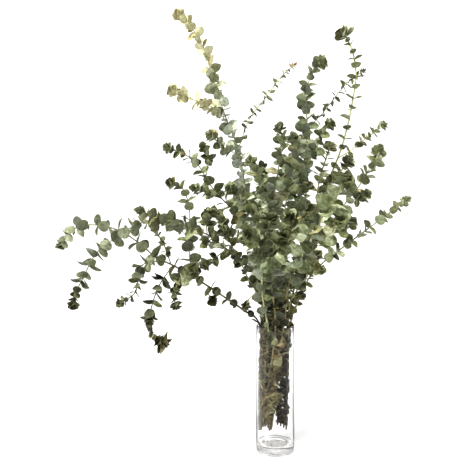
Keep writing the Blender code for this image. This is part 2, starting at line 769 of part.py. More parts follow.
def main():
    for thing in list(bpy.data.objects):
        bpy.data.objects.remove(thing)
    bunch = bpy.data.collections.new("eucalyptus_in_vase")
    bpy.context.scene.collection.children.link(bunch)
    make_vase(bunch, material("clear_glass", GLASS_TINT, 0.03, transmission=0.95))
    grown = laid_out()
    pairs = placed_pairs(grown)
    for branch in BRANCHES:
        finish = material("leaf_and_stem_" + branch["name"], branch["colour"], 0.6)
        make_branch(branch, grown[branch["name"]], pairs, bunch, finish)


main()
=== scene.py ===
"""The looks of a bunch of cut eucalyptus branches that stand in a clear glass cylinder vase.

Metres, +Z up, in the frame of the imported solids. Each branch solid gives way to two finer pieces that
follow the same stems: its wood, and its leaves as thin blades with all the pairs that the solid leaves out.
The leaf pairs that the solid has come first, from the same seeded draws, and lie where the solid has them.
"""

import json
import math
import random
from functools import cached_property
from types import SimpleNamespace

import bpy
import numpy as np
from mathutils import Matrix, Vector
from mathutils.bvhtree import BVHTree
from mathutils.kdtree import KDTree

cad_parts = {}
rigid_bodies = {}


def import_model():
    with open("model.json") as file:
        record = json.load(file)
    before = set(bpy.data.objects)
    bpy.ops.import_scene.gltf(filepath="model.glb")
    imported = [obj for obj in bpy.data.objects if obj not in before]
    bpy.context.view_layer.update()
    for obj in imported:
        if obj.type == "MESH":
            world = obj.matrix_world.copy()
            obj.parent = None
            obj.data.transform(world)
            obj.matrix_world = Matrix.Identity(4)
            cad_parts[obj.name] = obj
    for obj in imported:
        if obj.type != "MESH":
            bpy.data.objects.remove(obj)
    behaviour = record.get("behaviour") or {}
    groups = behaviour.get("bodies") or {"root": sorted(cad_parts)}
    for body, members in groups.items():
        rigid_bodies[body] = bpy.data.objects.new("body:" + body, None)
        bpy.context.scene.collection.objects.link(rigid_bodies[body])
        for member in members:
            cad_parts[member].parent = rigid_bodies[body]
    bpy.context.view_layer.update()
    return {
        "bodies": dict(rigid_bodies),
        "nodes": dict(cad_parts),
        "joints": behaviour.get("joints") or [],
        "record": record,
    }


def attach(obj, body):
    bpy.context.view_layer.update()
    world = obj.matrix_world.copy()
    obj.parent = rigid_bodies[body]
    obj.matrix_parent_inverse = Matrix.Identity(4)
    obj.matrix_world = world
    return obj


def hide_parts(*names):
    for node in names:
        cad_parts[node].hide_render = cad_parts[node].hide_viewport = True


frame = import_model()

MM = 0.001

# The vase, as in its solid
VASE_HEIGHT = 300 * MM
VASE_RADIUS = 46 * MM
VASE_WALL = 3.5 * MM
VASE_FLOOR = 20 * MM
VASE_INNER = VASE_RADIUS - VASE_WALL
VASE_EDGE = 2.5 * MM

# Stems: a branch tapers from its cut foot to its tip, a twig from its fork to its tip
FOOT_RADIUS = 2.9 * MM
FORK_RADIUS = 1.8 * MM
FORK_SHARE = 0.68
TIP_RADIUS = 1.2 * MM
TAPER = 0.8
STEM_GAP = 2.6 * MM
FOOT_GAP = 0.3 * MM
FOOT_RISE = 48 * MM
FOOT_SLANT = 0.36
FOOT_STEP = 4 * MM
FOOT_LEVELS = 4
# Feet stand round the back and left of the vase, in two groups and in the order of their places at the mouth
MOUTH_CUT = 315
FIRST_FOOT = 40
FOOT_TURN = 12.1
RIGHT_FEET = 4
CURVE_STEP = 5 * MM
MOST_SAG = 2.0 * MM
CORNERS = 4
BEND_ROUNDS = 60
BEND_SHARE = 1.1
BEND_SPREAD = 4

# Leaves sit in opposite pairs, each pair turned a quarter from the last
PAIR_STEP = 25 * MM
TIP_STEP = 10 * MM
TIP_LENGTH = 90 * MM
FOOT_BARE = 45 * MM
FORK_BARE = 18 * MM
EVERY = 3
EVERY_IN_VASE = 6
BLADE = 0.8 * MM
BLADE_GAP = 0.35 * MM
# The room that stems, the vase and leaves take up, where a leaf looks for a free place
VASE_SIDES, ROOM_SIDES = 40, 6
ROOM_BLADE = BLADE + 2 * BLADE_GAP
MOST_THINGS = 8000

# How a pair is set, in degrees: swing round the stem, lift towards the tip and twist out of square.
# Leaves to the side stand out from the stem, and those that point at the viewer or away lie along it
TRIES = 14
SWING, SWING_STEP, MOST_SWING = 12, 3, 40
SIDE_LIFT, FACING_LIFT, LIFT_SPREAD = 17, 58, 12
TIP_LIFT, MOST_LIFT = 16, 80
TURN_SHARES = (0.4, 1.35)
MOST_TURN = 78
SIZE_SHARES = (0.9, 1.1)
SIZE_STEP = 0.022
TIP_SIZE = 0.6
# Leaves in the vase are folded up along the stem by the glass
FOLDED_LIFT = 58
FOLDED_SHARE = 0.3
FOLDED_SIZE = 0.9
# Leaves are smaller near the mouth of the vase, up to a height where they are full
NECK_SIZE = 0.64
NECK_TOP = 460 * MM
# Sections of a leaf: the share of its length from the stem, and half its width there as such a share too
NEAR_STEM = [(0.0, 0.07), (0.14, 0.25)]
OUTLINE = [(0.30, 0.45), (0.72, 0.43), (1.0, 0.0)]
ARCH = 0.16

# The place that the fan of branches is drawn from: in front of the vase, a little to the left, at mid height
EYE = Vector((-97, -1150, 489)) * MM

# The finer leaves: blades of rings round their middle, with both faces closed at the edge
MIDDLE = 0.42
TIP_SPREAD = 0.34
NOTCH, NOTCH_SPREAD = 0.115, 0.30
WAVE, SMALL_WAVE = 0.022, 0.014
LEAF_THICKNESS = 0.45 * MM
SMALL_LEAF = 15 * MM
FILL_TRIES = 4
CROWDED_SIZE = 0.82
LOWEST_PAIR = 2
# How single leaves differ: pointed tip, width, cup, fold along the rib, ripple, arch, and the waves' phase
POINTS, WIDTHS, CUPS = (0.02, 0.1), (0.86, 1.04), (-0.1, 0.55)
FOLDS, FOLD_ROUNDING = (0.02, 0.2), 0.0009
RIPPLES, RIPPLE_WAVES = (0.006, 0.026), (3, 4, 5)
ARCHES, PHASES = (0.6, 1.4), (0, 6)
# The tip's own leaves: how far past the last pair, their share of a full leaf's length, their lift in degrees
TIP_LEAVES = [(-4.4 * MM, 0.60, 26), (-2.0 * MM, 0.58, 34), (0.4 * MM, 0.54, 42), (2.4 * MM, 0.46, 52),
              (4.0 * MM, 0.36, 62), (5.2 * MM, 0.24, 74)]
BUD_TURN = 48
MOST_TWIG_BUD = 1.25

# Leaves in the vase are wilted, from a little over its rim down: how many more there are, and how they differ
VASE_FULLNESS = 3.2
WILT_OVER_RIM, WILT_BLEND = 20 * MM, 40 * MM
WILTED_SIZE, WILTED_WIDTH, WILTED_POINT = 1.5, 0.8, 0.1
WILTED_LIFTS, WILTED_TURNS = (24, 62), (-55, 55)
WILTED_ARCHES, WILTED_CUPS = (-0.45, 0.45), (-0.2, 0.9)
# The first of these darkens every leaf in the vase, a painted shade for the shade among the dense leaves
# inside it
VASE_PAINTED_SHADE, WILTED_VARIED = 0.12, 0.24
# Gaps that leaves keep to the outside and the inside of the glass, and how fast they close over the rim.
# Spreads are in mm, here and below
GLASS_GAP, GLASS_SPREAD, INNER_GAP = 0.7 * MM, 1.5, 0.4 * MM
OUTER_SLOPE, INNER_SLOPE, RIM_REACH = 6, 3, 40 * MM
LOWEST_LEAF = VASE_FLOOR + 2 * MM
# Leaves pressed on the glass: how deep they lie at most, and their slope
PRESSED_DEPTH, PRESSED_LEAN = 3.5 * MM, 0.2
# Lower down in the vase, leaves keep clear of its right side: most x, at the floor and per height
CLEAR_TOP = 40 * MM
CLEAR_SIDE, CLEAR_SLOPE, CLEAR_SPREAD = 26 * MM, 0.02, 10
# Between the two groups of feet: the gap's middle as seen from the front, half its width and its height
GAP_PLACE, GAP_HALF, GAP_HEIGHT = -2 * MM, 6.5 * MM, 90 * MM
GAP_SPREAD = (-4, 2)

# The finer stems
STEM_SIDES = 10
VASE_GIRTH, GIRTH_BLEND = 0.8, 30 * MM
NODE_SWELL, NODE_LENGTH = 0.18, 2.6 * MM
UNEVEN, UNEVEN_TURN = 0.03, 0.9
TIP_END = 0.55

# The finer vase
GLASS_SIDES = 96
WELL_EDGE = 5 * MM
HOLLOW_RADIUS = 31 * MM
HOLLOW_RISE = 1.2 * MM

# How leaves are coloured: darker just over the rim, a painted shade for the shade among the dense leaves
# there, and darker on fine stems, light and yellow towards a cream tip, a little yellow at any tip, brown in
# the vase and a bit over it, red at some tips, and frosted further down
NECK_SHADE, NECK_PAINTED_SHADE = 180 * MM, 0.38
FINE_DARKER, FINE_LENGTH, FINE_WIDTH, FINE_LIFT = 0.14, 1.35, 0.5, 0.3
CREAM_LIGHTER, CREAM_RISE, CREAM_YELLOWS = 0.26, 1.4, (0.8, 1.0)
YELLOW_SHARES, TIP_YELLOW = (0.4, 1.5), 0.12
BROWN_AT_RIM, BROWN_HEIGHT, BROWN_SHARES, FRESH_BROWN = 0.68, 190 * MM, (0.5, 1.1), 0.3
BLUSH_RISE, BLUSH_SHARES = 1.2, (0.6, 1.0)
FROST_FULL, FROST_SHARES = 200 * MM, (0.2, 0.7, 1.3)
# The shares of odd dry and golden leaves, and how brown or yellow these are
DRY_SHARE, DRY_BROWNS = 0.05, (0.2, 0.6)
GOLDEN_SHARE, GOLDEN_YELLOWS = 0.018, (0.6, 1.0)

# Colours, from dark to light where they run
LEAF_GREENS = [(0.0, (0.010, 0.014, 0.003)), (0.3, (0.034, 0.050, 0.011)), (0.55, (0.102, 0.136, 0.046)),
               (0.8, (0.265, 0.320, 0.175)), (1.0, (0.500, 0.550, 0.400))]
LEAF_GOLDS = [(0.0, (0.034, 0.027, 0.007)), (0.4, (0.165, 0.138, 0.042)), (0.7, (0.430, 0.375, 0.165)),
              (1.0, (0.840, 0.775, 0.500))]
LEAF_BROWNS = [(0.0, (0.010, 0.006, 0.002)), (0.5, (0.066, 0.046, 0.014)), (1.0, (0.270, 0.205, 0.085))]
BLOOM = (0.30, 0.34, 0.27)
BLOOM_SHARE = 0.24
FROST = (0.64, 0.68, 0.60)
VEIN = (0.36, 0.38, 0.23)
LEAF_EDGE = (0.33, 0.33, 0.20)
CREAM_EDGE = (0.13, 0.115, 0.035)
DRY_EDGE = (0.23, 0.18, 0.10)
LEAF_UNDER = (0.24, 0.27, 0.20)
BLUSH = (0.30, 0.16, 0.07)
GLOW = (0.30, 0.36, 0.10)
GLOW_SHARE = 0.11
WOOD_DARK = [(0.0, (0.150, 0.145, 0.060)), (0.4, (0.085, 0.065, 0.034)), (1.0, (0.060, 0.045, 0.028))]
WOOD_PALE = [(0.0, (0.440, 0.460, 0.220)), (0.5, (0.300, 0.290, 0.120)), (1.0, (0.130, 0.112, 0.042))]
WOOD_STREAK = (0.28, 0.24, 0.12)
WOOD_CUT = (0.30, 0.26, 0.14)
WOOD_LOW_DARK = (0.045, 0.034, 0.020)
GLASS_TINT = (0.99, 0.99, 0.985)
GLASS_SHADOW = (0.90, 0.895, 0.89)
SPECULAR_TINT = (0.22, 0.22, 0.22)
# Where the hollow underneath is frosted: the glass is rougher there and takes the painted shade of
# BASE_PAINTED_SHADE
FROSTED_AND_SHADED_HEIGHTS = (2 * MM, 3 * MM)
FROSTED_AND_SHADED_RADII = (HOLLOW_RADIUS - 3 * MM, HOLLOW_RADIUS - 1 * MM)
FROSTED_ROUGHNESS = 0.5
# BASE_PAINTED_SHADE is a painted shade: the grey of the shadowed floor seen through the frosted hollow
BASE_PAINTED_SHADE = (0.21, 0.208, 0.20)
# EDGE_PAINTED_SHADE is a painted shade: the grey of the dark lines where the wall is seen edge-on
EDGE_PAINTED_SHADE = (0.76, 0.76, 0.76)
GLASS_IOR, EDGE_IOR = 1.5, 1.04
PAPER = (0.59, 0.59, 0.59)
STAGE_SIDE, STAGE_FRONT, STAGE_BACK = 8.0, -6.0, 2.0
STAGE_BEND, STAGE_TOP = 1.5, 8.0

# Light: the sky's strength, then each lamp's name, place, target, size and power
WORLD_LIGHT = 0.24
LAMPS = [
    ("key", (-1.7, -1.9, 2.7), (0, 0, 0.6), 0.8, 154),
    ("top", (0.5, 0.3, 3.4), (0, 0, 0.5), 1.6, 60),
    ("fill", (2.4, -1.6, 1.3), (0, 0, 0.6), 1.6, 46),
    ("backdrop", (0, 0.8, 3.8), (0, 3.2, 0.9), 2.5, 200),
]

# A branch's row. A way is (x, z, depth) in mm: x and z as seen on the vase's own plane, and depth behind it.
# rim is the place in the vase's mouth: the distance from its axis in mm, and the angle from +X in degrees.
# leaf is the length of a full-grown leaf in mm, sizes those on single twigs by their number, counted from 1,
# turn is how far leaves are twisted out of square to the stem, and facing_lift their lift to the viewer.
# light and yellow shift the leaves' colour, varied is how much the light differs from leaf to leaf, frost is
# how white the waxy bloom is, stem how pale the wood is, and girth its width as a share of the solid's.
# fullness is the number of pairs for each one of the plain spacing, bud is the size of the tip's leaves, and
# cream and blush say how far from its tip a stem, by its number, has cream or red leaves, in mm. fresh are
# stems that stay green over the rim, fine have narrow, darker leaves, and sparse have the plain spacing.
PLAIN = dict(sizes={}, facing_lift=FACING_LIFT, light=0.0, varied=0.2, yellow=0.1, frost=0.0, stem=0.35,
             girth=1.12, fullness=1.0, bud=0.9, cream={}, blush={}, fresh=(), fine=(), sparse=())
ROWS = [
    dict(name="pale_crown", rim=(15, 160), leaf=28, turn=60, sizes={2: 14}, light=0.2, varied=0.27,
         yellow=0.06, frost=1.1, stem=0.7, fullness=1.75, bud=1.2, cream={0: 270, 1: 220, 2: 40},
         blush={2: 60}, fine=(2,),
         way=[(-42, 433, 10), (-49, 517, 25), (-54, 590, 35), (-73, 638, 45), (-88, 722, 55), (-124, 814, 60),
              (-155, 915, 60), (-180, 982, 52), (-207, 1024, 46), (-235, 1053, 40)],
         twigs=[
             [(-112, 792, 58), (-153, 826, 40), (-201, 845, 20), (-251, 869, 5)],
             [(-85, 725, 55), (-61, 799, 70), (-22, 850, 85), (16, 901, 95), (50, 930, 100)],
             [(-95, 705, 53), (-128, 732, 20), (-157, 761, 0)],
             [(-52, 587, 35), (-78, 611, -10), (-112, 631, -30)],
             [(-50, 530, 27), (-32, 602, 5), (-30, 655, -5)]]),
    dict(name="left_arch", rim=(38, 186), leaf=28, turn=30, sizes={2: 31, 3: 16, 4: 30, 5: 25, 8: 34},
         light=-0.06, varied=0.25, yellow=0.22, frost=0.3, stem=0.05, fullness=1.5, bud=0.9, sparse=(0, 1),
         way=[(-78, 337, -15), (-126, 370, -30), (-170, 399, -45), (-206, 421, -55), (-244, 443, -65),
              (-288, 464, -75), (-326, 496, -80), (-370, 525, -80), (-418, 540, -75), (-466, 540, -65),
              (-500, 521, -60), (-519, 491, -55)],
         twigs=[
             [(-201, 416, -54), (-206, 462, -30), (-211, 510, -20), (-206, 566, -15), (-213, 607, -15),
              (-227, 633, -20), (-256, 645, -25)],
             [(-211, 510, -20), (-239, 544, -10), (-288, 554, 0), (-341, 539, 10), (-394, 505, 15),
              (-435, 469, 15), (-461, 419, 10), (-480, 380, 5), (-488, 344, 0)],
             [(-249, 448, -66), (-268, 493, -90), (-288, 525, -105), (-302, 548, -110)],
             [(-251, 440, -66), (-278, 399, -80), (-297, 349, -90), (-304, 308, -95), (-295, 274, -98),
              (-268, 255, -100)],
             [(-273, 457, -72), (-302, 452, -95), (-326, 440, -110), (-331, 406, -118), (-341, 375, -120),
              (-379, 351, -120)],
             [(-220, 426, -58), (-237, 397, -80), (-244, 366, -92), (-237, 344, -98)],
             [(-162, 394, -42), (-160, 373, -60), (-148, 354, -72)],
             [(-206, 421, -55), (-205, 425, -85), (-203, 429, -115), (-200, 433, -140)]]),
    dict(name="left_mid", rim=(34, 212), leaf=28, turn=38, light=-0.03, yellow=0.22, frost=0.2, stem=0.1,
         fullness=1.34,
         way=[(-32, 385, -50), (-51, 423, -70), (-92, 467, -95), (-124, 488, -110), (-150, 510, -120),
              (-182, 527, -128), (-215, 539, -132), (-254, 551, -135), (-290, 558, -135), (-326, 578, -130)],
         twigs=[
             [(-119, 481, -108), (-148, 460, -120), (-174, 443, -128)],
             [(-165, 520, -124), (-165, 549, -140), (-150, 575, -150)],
             [(-92, 467, -95), (-118, 520, -130), (-128, 555, -150)],
             [(-150, 510, -120), (-168, 497, -143)]]),
    dict(name="left_upper", rim=(34, 152), leaf=27, turn=45, sizes={3: 32}, light=-0.03, yellow=0.16,
         fullness=1.34,
         way=[(-32, 421, 20), (-61, 505, 30), (-95, 570, 30), (-126, 602, 25), (-148, 626, 20),
              (-167, 655, 15), (-186, 686, 10), (-215, 710, 5), (-264, 730, 0)],
         twigs=[
             [(-128, 604, 25), (-157, 616, -5), (-196, 631, -20)],
             [(-172, 664, 12), (-160, 698, 0), (-174, 732, -5)],
             [(-110, 588, 28), (-138, 573, 5), (-165, 568, -10)]]),
    dict(name="centre_left", rim=(15, 232), leaf=29, turn=50, light=0.04, frost=0.2, fullness=1.34,
         way=[(-13, 433, -30), (-10, 517, -50), (-3, 602, -65), (9, 686, -75), (18, 740, -75),
              (11, 780, -70)],
         twigs=[
             [(-6, 590, -63), (-32, 626, -90), (-47, 669, -100), (-60, 700, -100)],
             [(2, 638, -70), (35, 679, -95), (50, 722, -105), (45, 756, -105)],
             [(-8, 541, -55), (-42, 566, -95), (-66, 580, -110)]]),
    dict(name="centre_up", rim=(15, 304), leaf=28, turn=60, sizes={1: 14, 2: 24}, yellow=0.1, frost=0.2,
         fullness=1.67, bud=1.15, fine=(1,),
         way=[(19, 433, -15), (40, 529, -20), (60, 626, -25), (73, 710, -25), (77, 783, -25), (74, 843, -25),
              (82, 891, -30), (99, 926, -35), (117, 936, -40)],
         twigs=[
             [(77, 771, -25), (108, 804, 0), (137, 840, 25), (166, 877, 45), (192, 899, 58), (217, 915, 64)],
             [(69, 679, -25), (98, 722, -60), (117, 771, -80), (137, 787, -85)],
             [(52, 590, -22), (31, 638, -60), (28, 690, -75)]]),
    dict(name="tall_right", rim=(15, 16), leaf=22, turn=12, facing_lift=20,
         sizes={1: 20, 2: 26, 3: 26, 4: 28}, light=0.12, yellow=0.24, stem=0.95, girth=1.4, fullness=1.34,
         bud=2.1, sparse=(0,),
         way=[(35, 421, 10), (67, 505, 20), (103, 590, 30), (134, 662, 35), (158, 722, 35), (175, 783, 30),
              (187, 843, 25), (195, 903, 20), (187, 959, 15), (166, 1007, 10)],
         twigs=[
             [(151, 703, 35), (190, 727, 45), (223, 754, 50), (264, 783, 50)],
             [(120, 631, 32), (156, 669, -10), (180, 698, -20)],
             [(85, 550, 25), (72, 590, -15), (78, 640, -30)],
             [(103, 590, 30), (103, 628, 0), (112, 668, -20), (124, 706, -30), (134, 734, -35)]]),
    dict(name="right_upper", rim=(34, 22), leaf=30, turn=60, sizes={1: 27, 2: 32}, light=0.0, yellow=0.2,
         fullness=1.34, bud=1.1,
         way=[(52, 409, 15), (91, 481, 10), (132, 541, 0), (170, 595, -10), (199, 631, -20), (223, 669, -25),
              (243, 698, -30), (252, 725, -30)],
         twigs=[
             [(180, 607, -12), (203, 601, -32), (222, 619, -42)],
             [(113, 512, 5), (151, 525, -25), (185, 549, -40)]]),
    dict(name="right_arch", rim=(36, 352), leaf=23, turn=38, light=0.05, yellow=0.2, stem=0.2, fullness=1.34,
         way=[(52, 349, 0), (79, 409, -5), (117, 452, -10), (168, 491, -15), (223, 532, -20), (272, 568, -25),
              (320, 604, -30)],
         twigs=[
             [(90, 424, -7), (102, 428, -38), (113, 436, -52)]]),
    dict(name="front_right", rim=(34, 300), leaf=34, turn=60, light=0.1, yellow=0.1, frost=0.3, stem=0.6,
         way=[(31, 385, -60), (55, 452, -130), (88, 517, -200), (122, 573, -250), (151, 614, -290),
              (173, 655, -310)],
         twigs=[
             [(72, 486, -165), (50, 525, -230), (35, 566, -265)],
             [(108, 549, -228), (138, 543, -262), (158, 560, -284)]]),
    dict(name="front_centre", rim=(34, 266), leaf=34, turn=60, sizes={1: 21}, light=-0.1, yellow=0.1,
         frost=0.2, stem=0.8, fresh=(1,),
         way=[(-6, 373, -70), (-13, 428, -150), (-27, 469, -230), (-47, 501, -290), (-68, 522, -330)],
         twigs=[
             [(-16, 440, -175), (-30, 438, -205), (-32, 385, -208), (-27, 345, -200), (-13, 269, -185)],
             [(-22, 460, -212), (6, 486, -270), (21, 515, -300)],
             [(-36, 486, -262), (-20, 529, -310), (-10, 560, -325)]]),
    # The low light of the two neck branches is painted shade, for the shade among the dense leaves just over
    # the rim
    dict(name="neck_left", rim=(36, 238), leaf=25, turn=45, light=-0.2, yellow=0.3,
         way=[(-32, 349, -55), (-49, 385, -80), (-66, 414, -95), (-83, 450, -96), (-98, 474, -82)],
         twigs=[
             [(-44, 378, -76), (-64, 362, -92), (-72, 341, -97)]]),
    dict(name="neck_right", rim=(36, 328), leaf=27, turn=50, light=-0.15, yellow=0.34,
         way=[(35, 349, -45), (57, 390, -75), (79, 421, -95), (94, 448, -108), (103, 474, -114)],
         twigs=[
             [(57, 390, -75), (67, 374, -92)]]),
    dict(name="centre_back", rim=(15, 88), leaf=28, turn=45, light=-0.1, frost=0.12, fullness=1.34,
         way=[(7, 433, 60), (16, 529, 100), (31, 626, 130), (45, 698, 150), (60, 751, 160)],
         twigs=[
             [(22, 570, 113), (-13, 626, 150), (-32, 686, 170)],
             [(33, 640, 133), (72, 686, 170), (84, 736, 185)]]),
    dict(name="back_left", rim=(34, 120), leaf=30, turn=45, light=-0.1, frost=0.12, fullness=1.34,
         way=[(-18, 397, 60), (-44, 469, 120), (-70, 534, 180), (-85, 590, 240), (-80, 630, 280)],
         twigs=[
             [(-50, 482, 132), (-92, 515, 160), (-128, 545, 175)],
             [(-60, 505, 152), (-40, 560, 215), (-40, 600, 250)]]),
    dict(name="back_centre", rim=(34, 88), leaf=31, turn=50, light=-0.1, fullness=1.34,
         way=[(2, 385, 70), (2, 452, 140), (-8, 525, 210), (-18, 590, 265), (-18, 645, 300)],
         twigs=[
             [(0, 480, 167), (23, 529, 230), (43, 573, 270)],
             [(-2, 430, 120), (10, 440, 175), (24, 425, 215)]]),
    dict(name="back_right", rim=(34, 54), leaf=30, turn=50, light=-0.1, yellow=0.2, fullness=1.34,
         way=[(21, 390, 55), (50, 462, 115), (84, 534, 170), (113, 597, 215), (132, 650, 240)],
         twigs=[
             [(67, 498, 145), (113, 517, 200), (146, 549, 230)],
             [(60, 485, 133), (66, 545, 200), (80, 590, 240)]]),
]
BRANCHES = [SimpleNamespace(**(PLAIN | row), stems=[]) for row in ROWS]


def in_space(way_point):
    """A point of a way, moved along its line of sight to its own depth."""
    x, z, depth = (value * MM for value in way_point)
    reach = (depth - EYE.y) / -EYE.y
    return Vector((EYE.x + (x - EYE.x) * reach, depth, EYE.z + (z - EYE.z) * reach))


def on_ring(radius, degrees, height):
    angle = math.radians(degrees)
    return Vector((radius * math.cos(angle), radius * math.sin(angle), height))


def smooth(points, step):
    """Points every step along a smooth curve through the given points."""
    ends = [2 * points[0] - points[1]] + points + [2 * points[-1] - points[-2]]
    fine = []
    for before, start, end, after in zip(ends, ends[1:], ends[2:], ends[3:]):
        count = max(4, math.ceil((end - start).length / step) * 2)
        for i in range(count):
            t = i / count
            fine.append(0.5 * (2 * start + (end - before) * t
                               + (2 * before - 5 * start + 4 * end - after) * t ** 2
                               + (3 * start - before - 3 * end + after) * t ** 3))
    fine.append(points[-1])
    return evenly(fine, step)


def evenly(points, step):
    """The same line, with its points the same distance apart."""
    total = sum((b - a).length for a, b in zip(points, points[1:]))
    count = max(2, round(total / step))
    spread, wanted, run = [points[0].copy()], total / count, 0.0
    for a, b in zip(points, points[1:]):
        length = (b - a).length
        while length > 0 and run + length >= wanted * len(spread) and len(spread) < count:
            spread.append(a.lerp(b, (wanted * len(spread) - run) / length))
        run += length
    spread.append(points[-1].copy())
    return spread


class Stem:
    """A branch's stem or one of its twigs: evenly spaced points and a taper from start to tip."""

    def __init__(self, branch, points, start):
        self.branch = branch
        self.number = len(branch.stems)
        self.owner = (branch.name, self.number)
        self.points = points
        self.start = start
        self.forks = []
        self.pairs = []
        self.last = len(points) - 1

    def radius(self, number):
        return self.start + (TIP_RADIUS - self.start) * (number / self.last) ** TAPER

    @cached_property
    def frames(self):
        """Square directions at each point, (along, across, third), that turn as little as they can."""
        across = Vector((0, -1, 0))
        found = []
        for before, after in zip(self.points[:1] + self.points, self.points[1:] + self.points[-1:]):
            along = (after - before).normalized()
            across = (across - across.dot(along) * along).normalized()
            found.append((along, across, along.cross(across)))
        return found

    def stations(self):
        """Places of the leaf pairs, (number from the tip, point number), closer together at the tip."""
        bare = FORK_BARE if self.number else FOOT_BARE
        places, back = [], 0.0
        while back < CURVE_STEP * self.last - bare:
            places.append((len(places), self.last - max(1, round(back / CURVE_STEP))))
            back += TIP_STEP + (PAIR_STEP - TIP_STEP) * min(1, back / TIP_LENGTH)
        return places

    def leafy(self):
        """The stations whose leaves are modelled here."""
        return [(station, point) for station, point in self.stations()
                if station % (EVERY_IN_VASE if self.points[point].z < VASE_HEIGHT else EVERY) == 0]

    def stops(self):
        """Point numbers where the tube has a ring: few on a straight stretch, more on a bend."""
        stops = sorted({0, self.last, *self.forks, *(point for _, point in self.leafy())})
        for a, b in zip(stops, stops[1:]):
            stops += self.between(a, b)
        return sorted(stops)

    def between(self, a, b):
        """Rings needed between two others, for the tube to follow the bend."""
        middle = (a + b) // 2
        chord = self.points[a].lerp(self.points[b], (middle - a) / (b - a))
        if b - a < 4 or (self.points[middle] - chord).length <= MOST_SAG:
            return []
        return self.between(a, middle) + [middle] + self.between(middle, b)


def kept_in_vase(point, radius):
    """The point, brought back inside the vase's wall where it is low enough to be in it."""
    most = VASE_INNER - radius - FOOT_GAP
    away = math.hypot(point.x, point.y)
    if point.z > VASE_HEIGHT + STEM_GAP or away <= most:
        return point
    return Vector((point.x * most / away, point.y * most / away, point.z))


def bend_clear(stem, others):
    """Bends a stem away from the stems of the other branches. A twig keeps its fork where it is."""
    placed = [(point, other.radius(i)) for other in others for i, point in enumerate(other.points)]
    if not placed:
        return
    tree = KDTree(len(placed))
    for i, (place, _) in enumerate(placed):
        tree.insert(place, i)
    tree.balance()
    most = 2 * FOOT_RADIUS + STEM_GAP
    for _ in range(BEND_ROUNDS):
        shift = [Vector() for _ in stem.points]
        for i, point in enumerate(stem.points):
            for place, found, distance in tree.find_range(point, most + CURVE_STEP):
                short = stem.radius(i) + placed[found][1] + STEM_GAP - distance
                if short > 0 and (i > 1 or not stem.number):
                    away = (point - place).normalized() if distance > 0 else Vector((0, 1, 0))
                    shift[i] = max(shift[i], away * short * BEND_SHARE, key=lambda move: move.length)
        if max(move.length for move in shift) < 0.1 * MM:
            break
        for _ in range(BEND_SPREAD):
            inner = [max(b, (a + 2 * b + c) / 4, key=lambda move: move.length)
                     for a, b, c in zip(shift, shift[1:], shift[2:])]
            shift = [Vector()] + inner + [shift[-1]]
        stem.points = [kept_in_vase(point + move, stem.radius(i))
                       for i, (point, move) in enumerate(zip(stem.points, shift))]


def foot_of(branch):
    """Where the cut end stands: just clear of the wall, above the floor and higher towards the front."""
    order = sorted(BRANCHES, key=lambda other: (other.rim[1] - MOUTH_CUT) % 360)
    rank = order.index(branch)
    degrees = FIRST_FOOT + FOOT_TURN * (rank + (rank >= RIGHT_FEET))
    radius = VASE_INNER - FOOT_RADIUS - FOOT_GAP
    rise = FOOT_RISE - FOOT_SLANT * radius * math.sin(math.radians(degrees))
    return on_ring(radius, degrees, rise + FOOT_STEP * (rank % FOOT_LEVELS))


def add_stem(branch, route, start):
    """Adds a stem to a branch, bent clear of the stems of all the others."""
    stem = Stem(branch, smooth(route, CURVE_STEP), start)
    bend_clear(stem, [other for row in BRANCHES if row is not branch for other in row.stems])
    branch.stems.append(stem)


def laid_out():
    """Gives each branch its stem, followed by its twigs, and returns all of them."""
    for branch in BRANCHES:
        radius, degrees = branch.rim
        foot = foot_of(branch)
        mouth = on_ring(radius * MM, degrees, VASE_HEIGHT)
        route = [foot, foot.lerp(mouth, 0.5), mouth] + [in_space(point) for point in branch.way]
        add_stem(branch, route, FOOT_RADIUS)
    for branch in BRANCHES:
        for twig in branch.twigs:
            route = [in_space(point) for point in twig]
            places = [(stem, i) for stem in branch.stems for i in range(2, stem.last - 1)]
            parent, fork = min(places, key=lambda place: (place[0].points[place[1]] - route[0]).length)
            parent.forks.append(fork)
            route[0] = parent.points[fork]
            add_stem(branch, route, min(FORK_RADIUS, FORK_SHARE * parent.radius(fork)))
    return [stem for branch in BRANCHES for stem in branch.stems]


def around(frame, angle):
    """The direction at an angle round a stem, square to it."""
    _, across, third = frame
    return across * math.cos(angle) + third * math.sin(angle)


def leaf_frame(stem, look, sign):
    """Where a leaf starts and its directions: (root, rib, side, up)."""
    along = look.frame[0]
    out = around(look.frame, look.azimuth) * sign
    root = stem.points[look.point] + out * stem.radius(look.point) * math.cos(math.pi / CORNERS)
    rib = out * math.cos(look.lift) + along * math.sin(look.lift)
    sheet = along.cross(out) * math.cos(look.turn) + along * math.sin(look.turn)
    side = (sheet - sheet.dot(rib) * rib).normalized()
    return root + along * look.past, rib, side, rib.cross(side)


def leaf_room(stem, look, sign, outline=NEAR_STEM + OUTLINE):
    """(points, triangles) of the room that a leaf takes up, open at its root."""
    root, rib, side, up = leaf_frame(stem, look, sign)
    length = look.length
    rise = up * ROOM_BLADE / 2
    rings = []
    for share, width in outline:
        middle = root + rib * length * share - up * ARCH * length * share ** 2
        reach = side * (width * length)
        left, right = middle - reach, middle + reach
        rings.append([left - rise, right - rise, right + rise, left + rise])
    return tube_mesh(rings)


def leaf_size(stem):
    """The length of a full leaf on a stem. Thin twigs have smaller leaves."""
    return stem.branch.sizes.get(stem.number, stem.branch.leaf) * MM


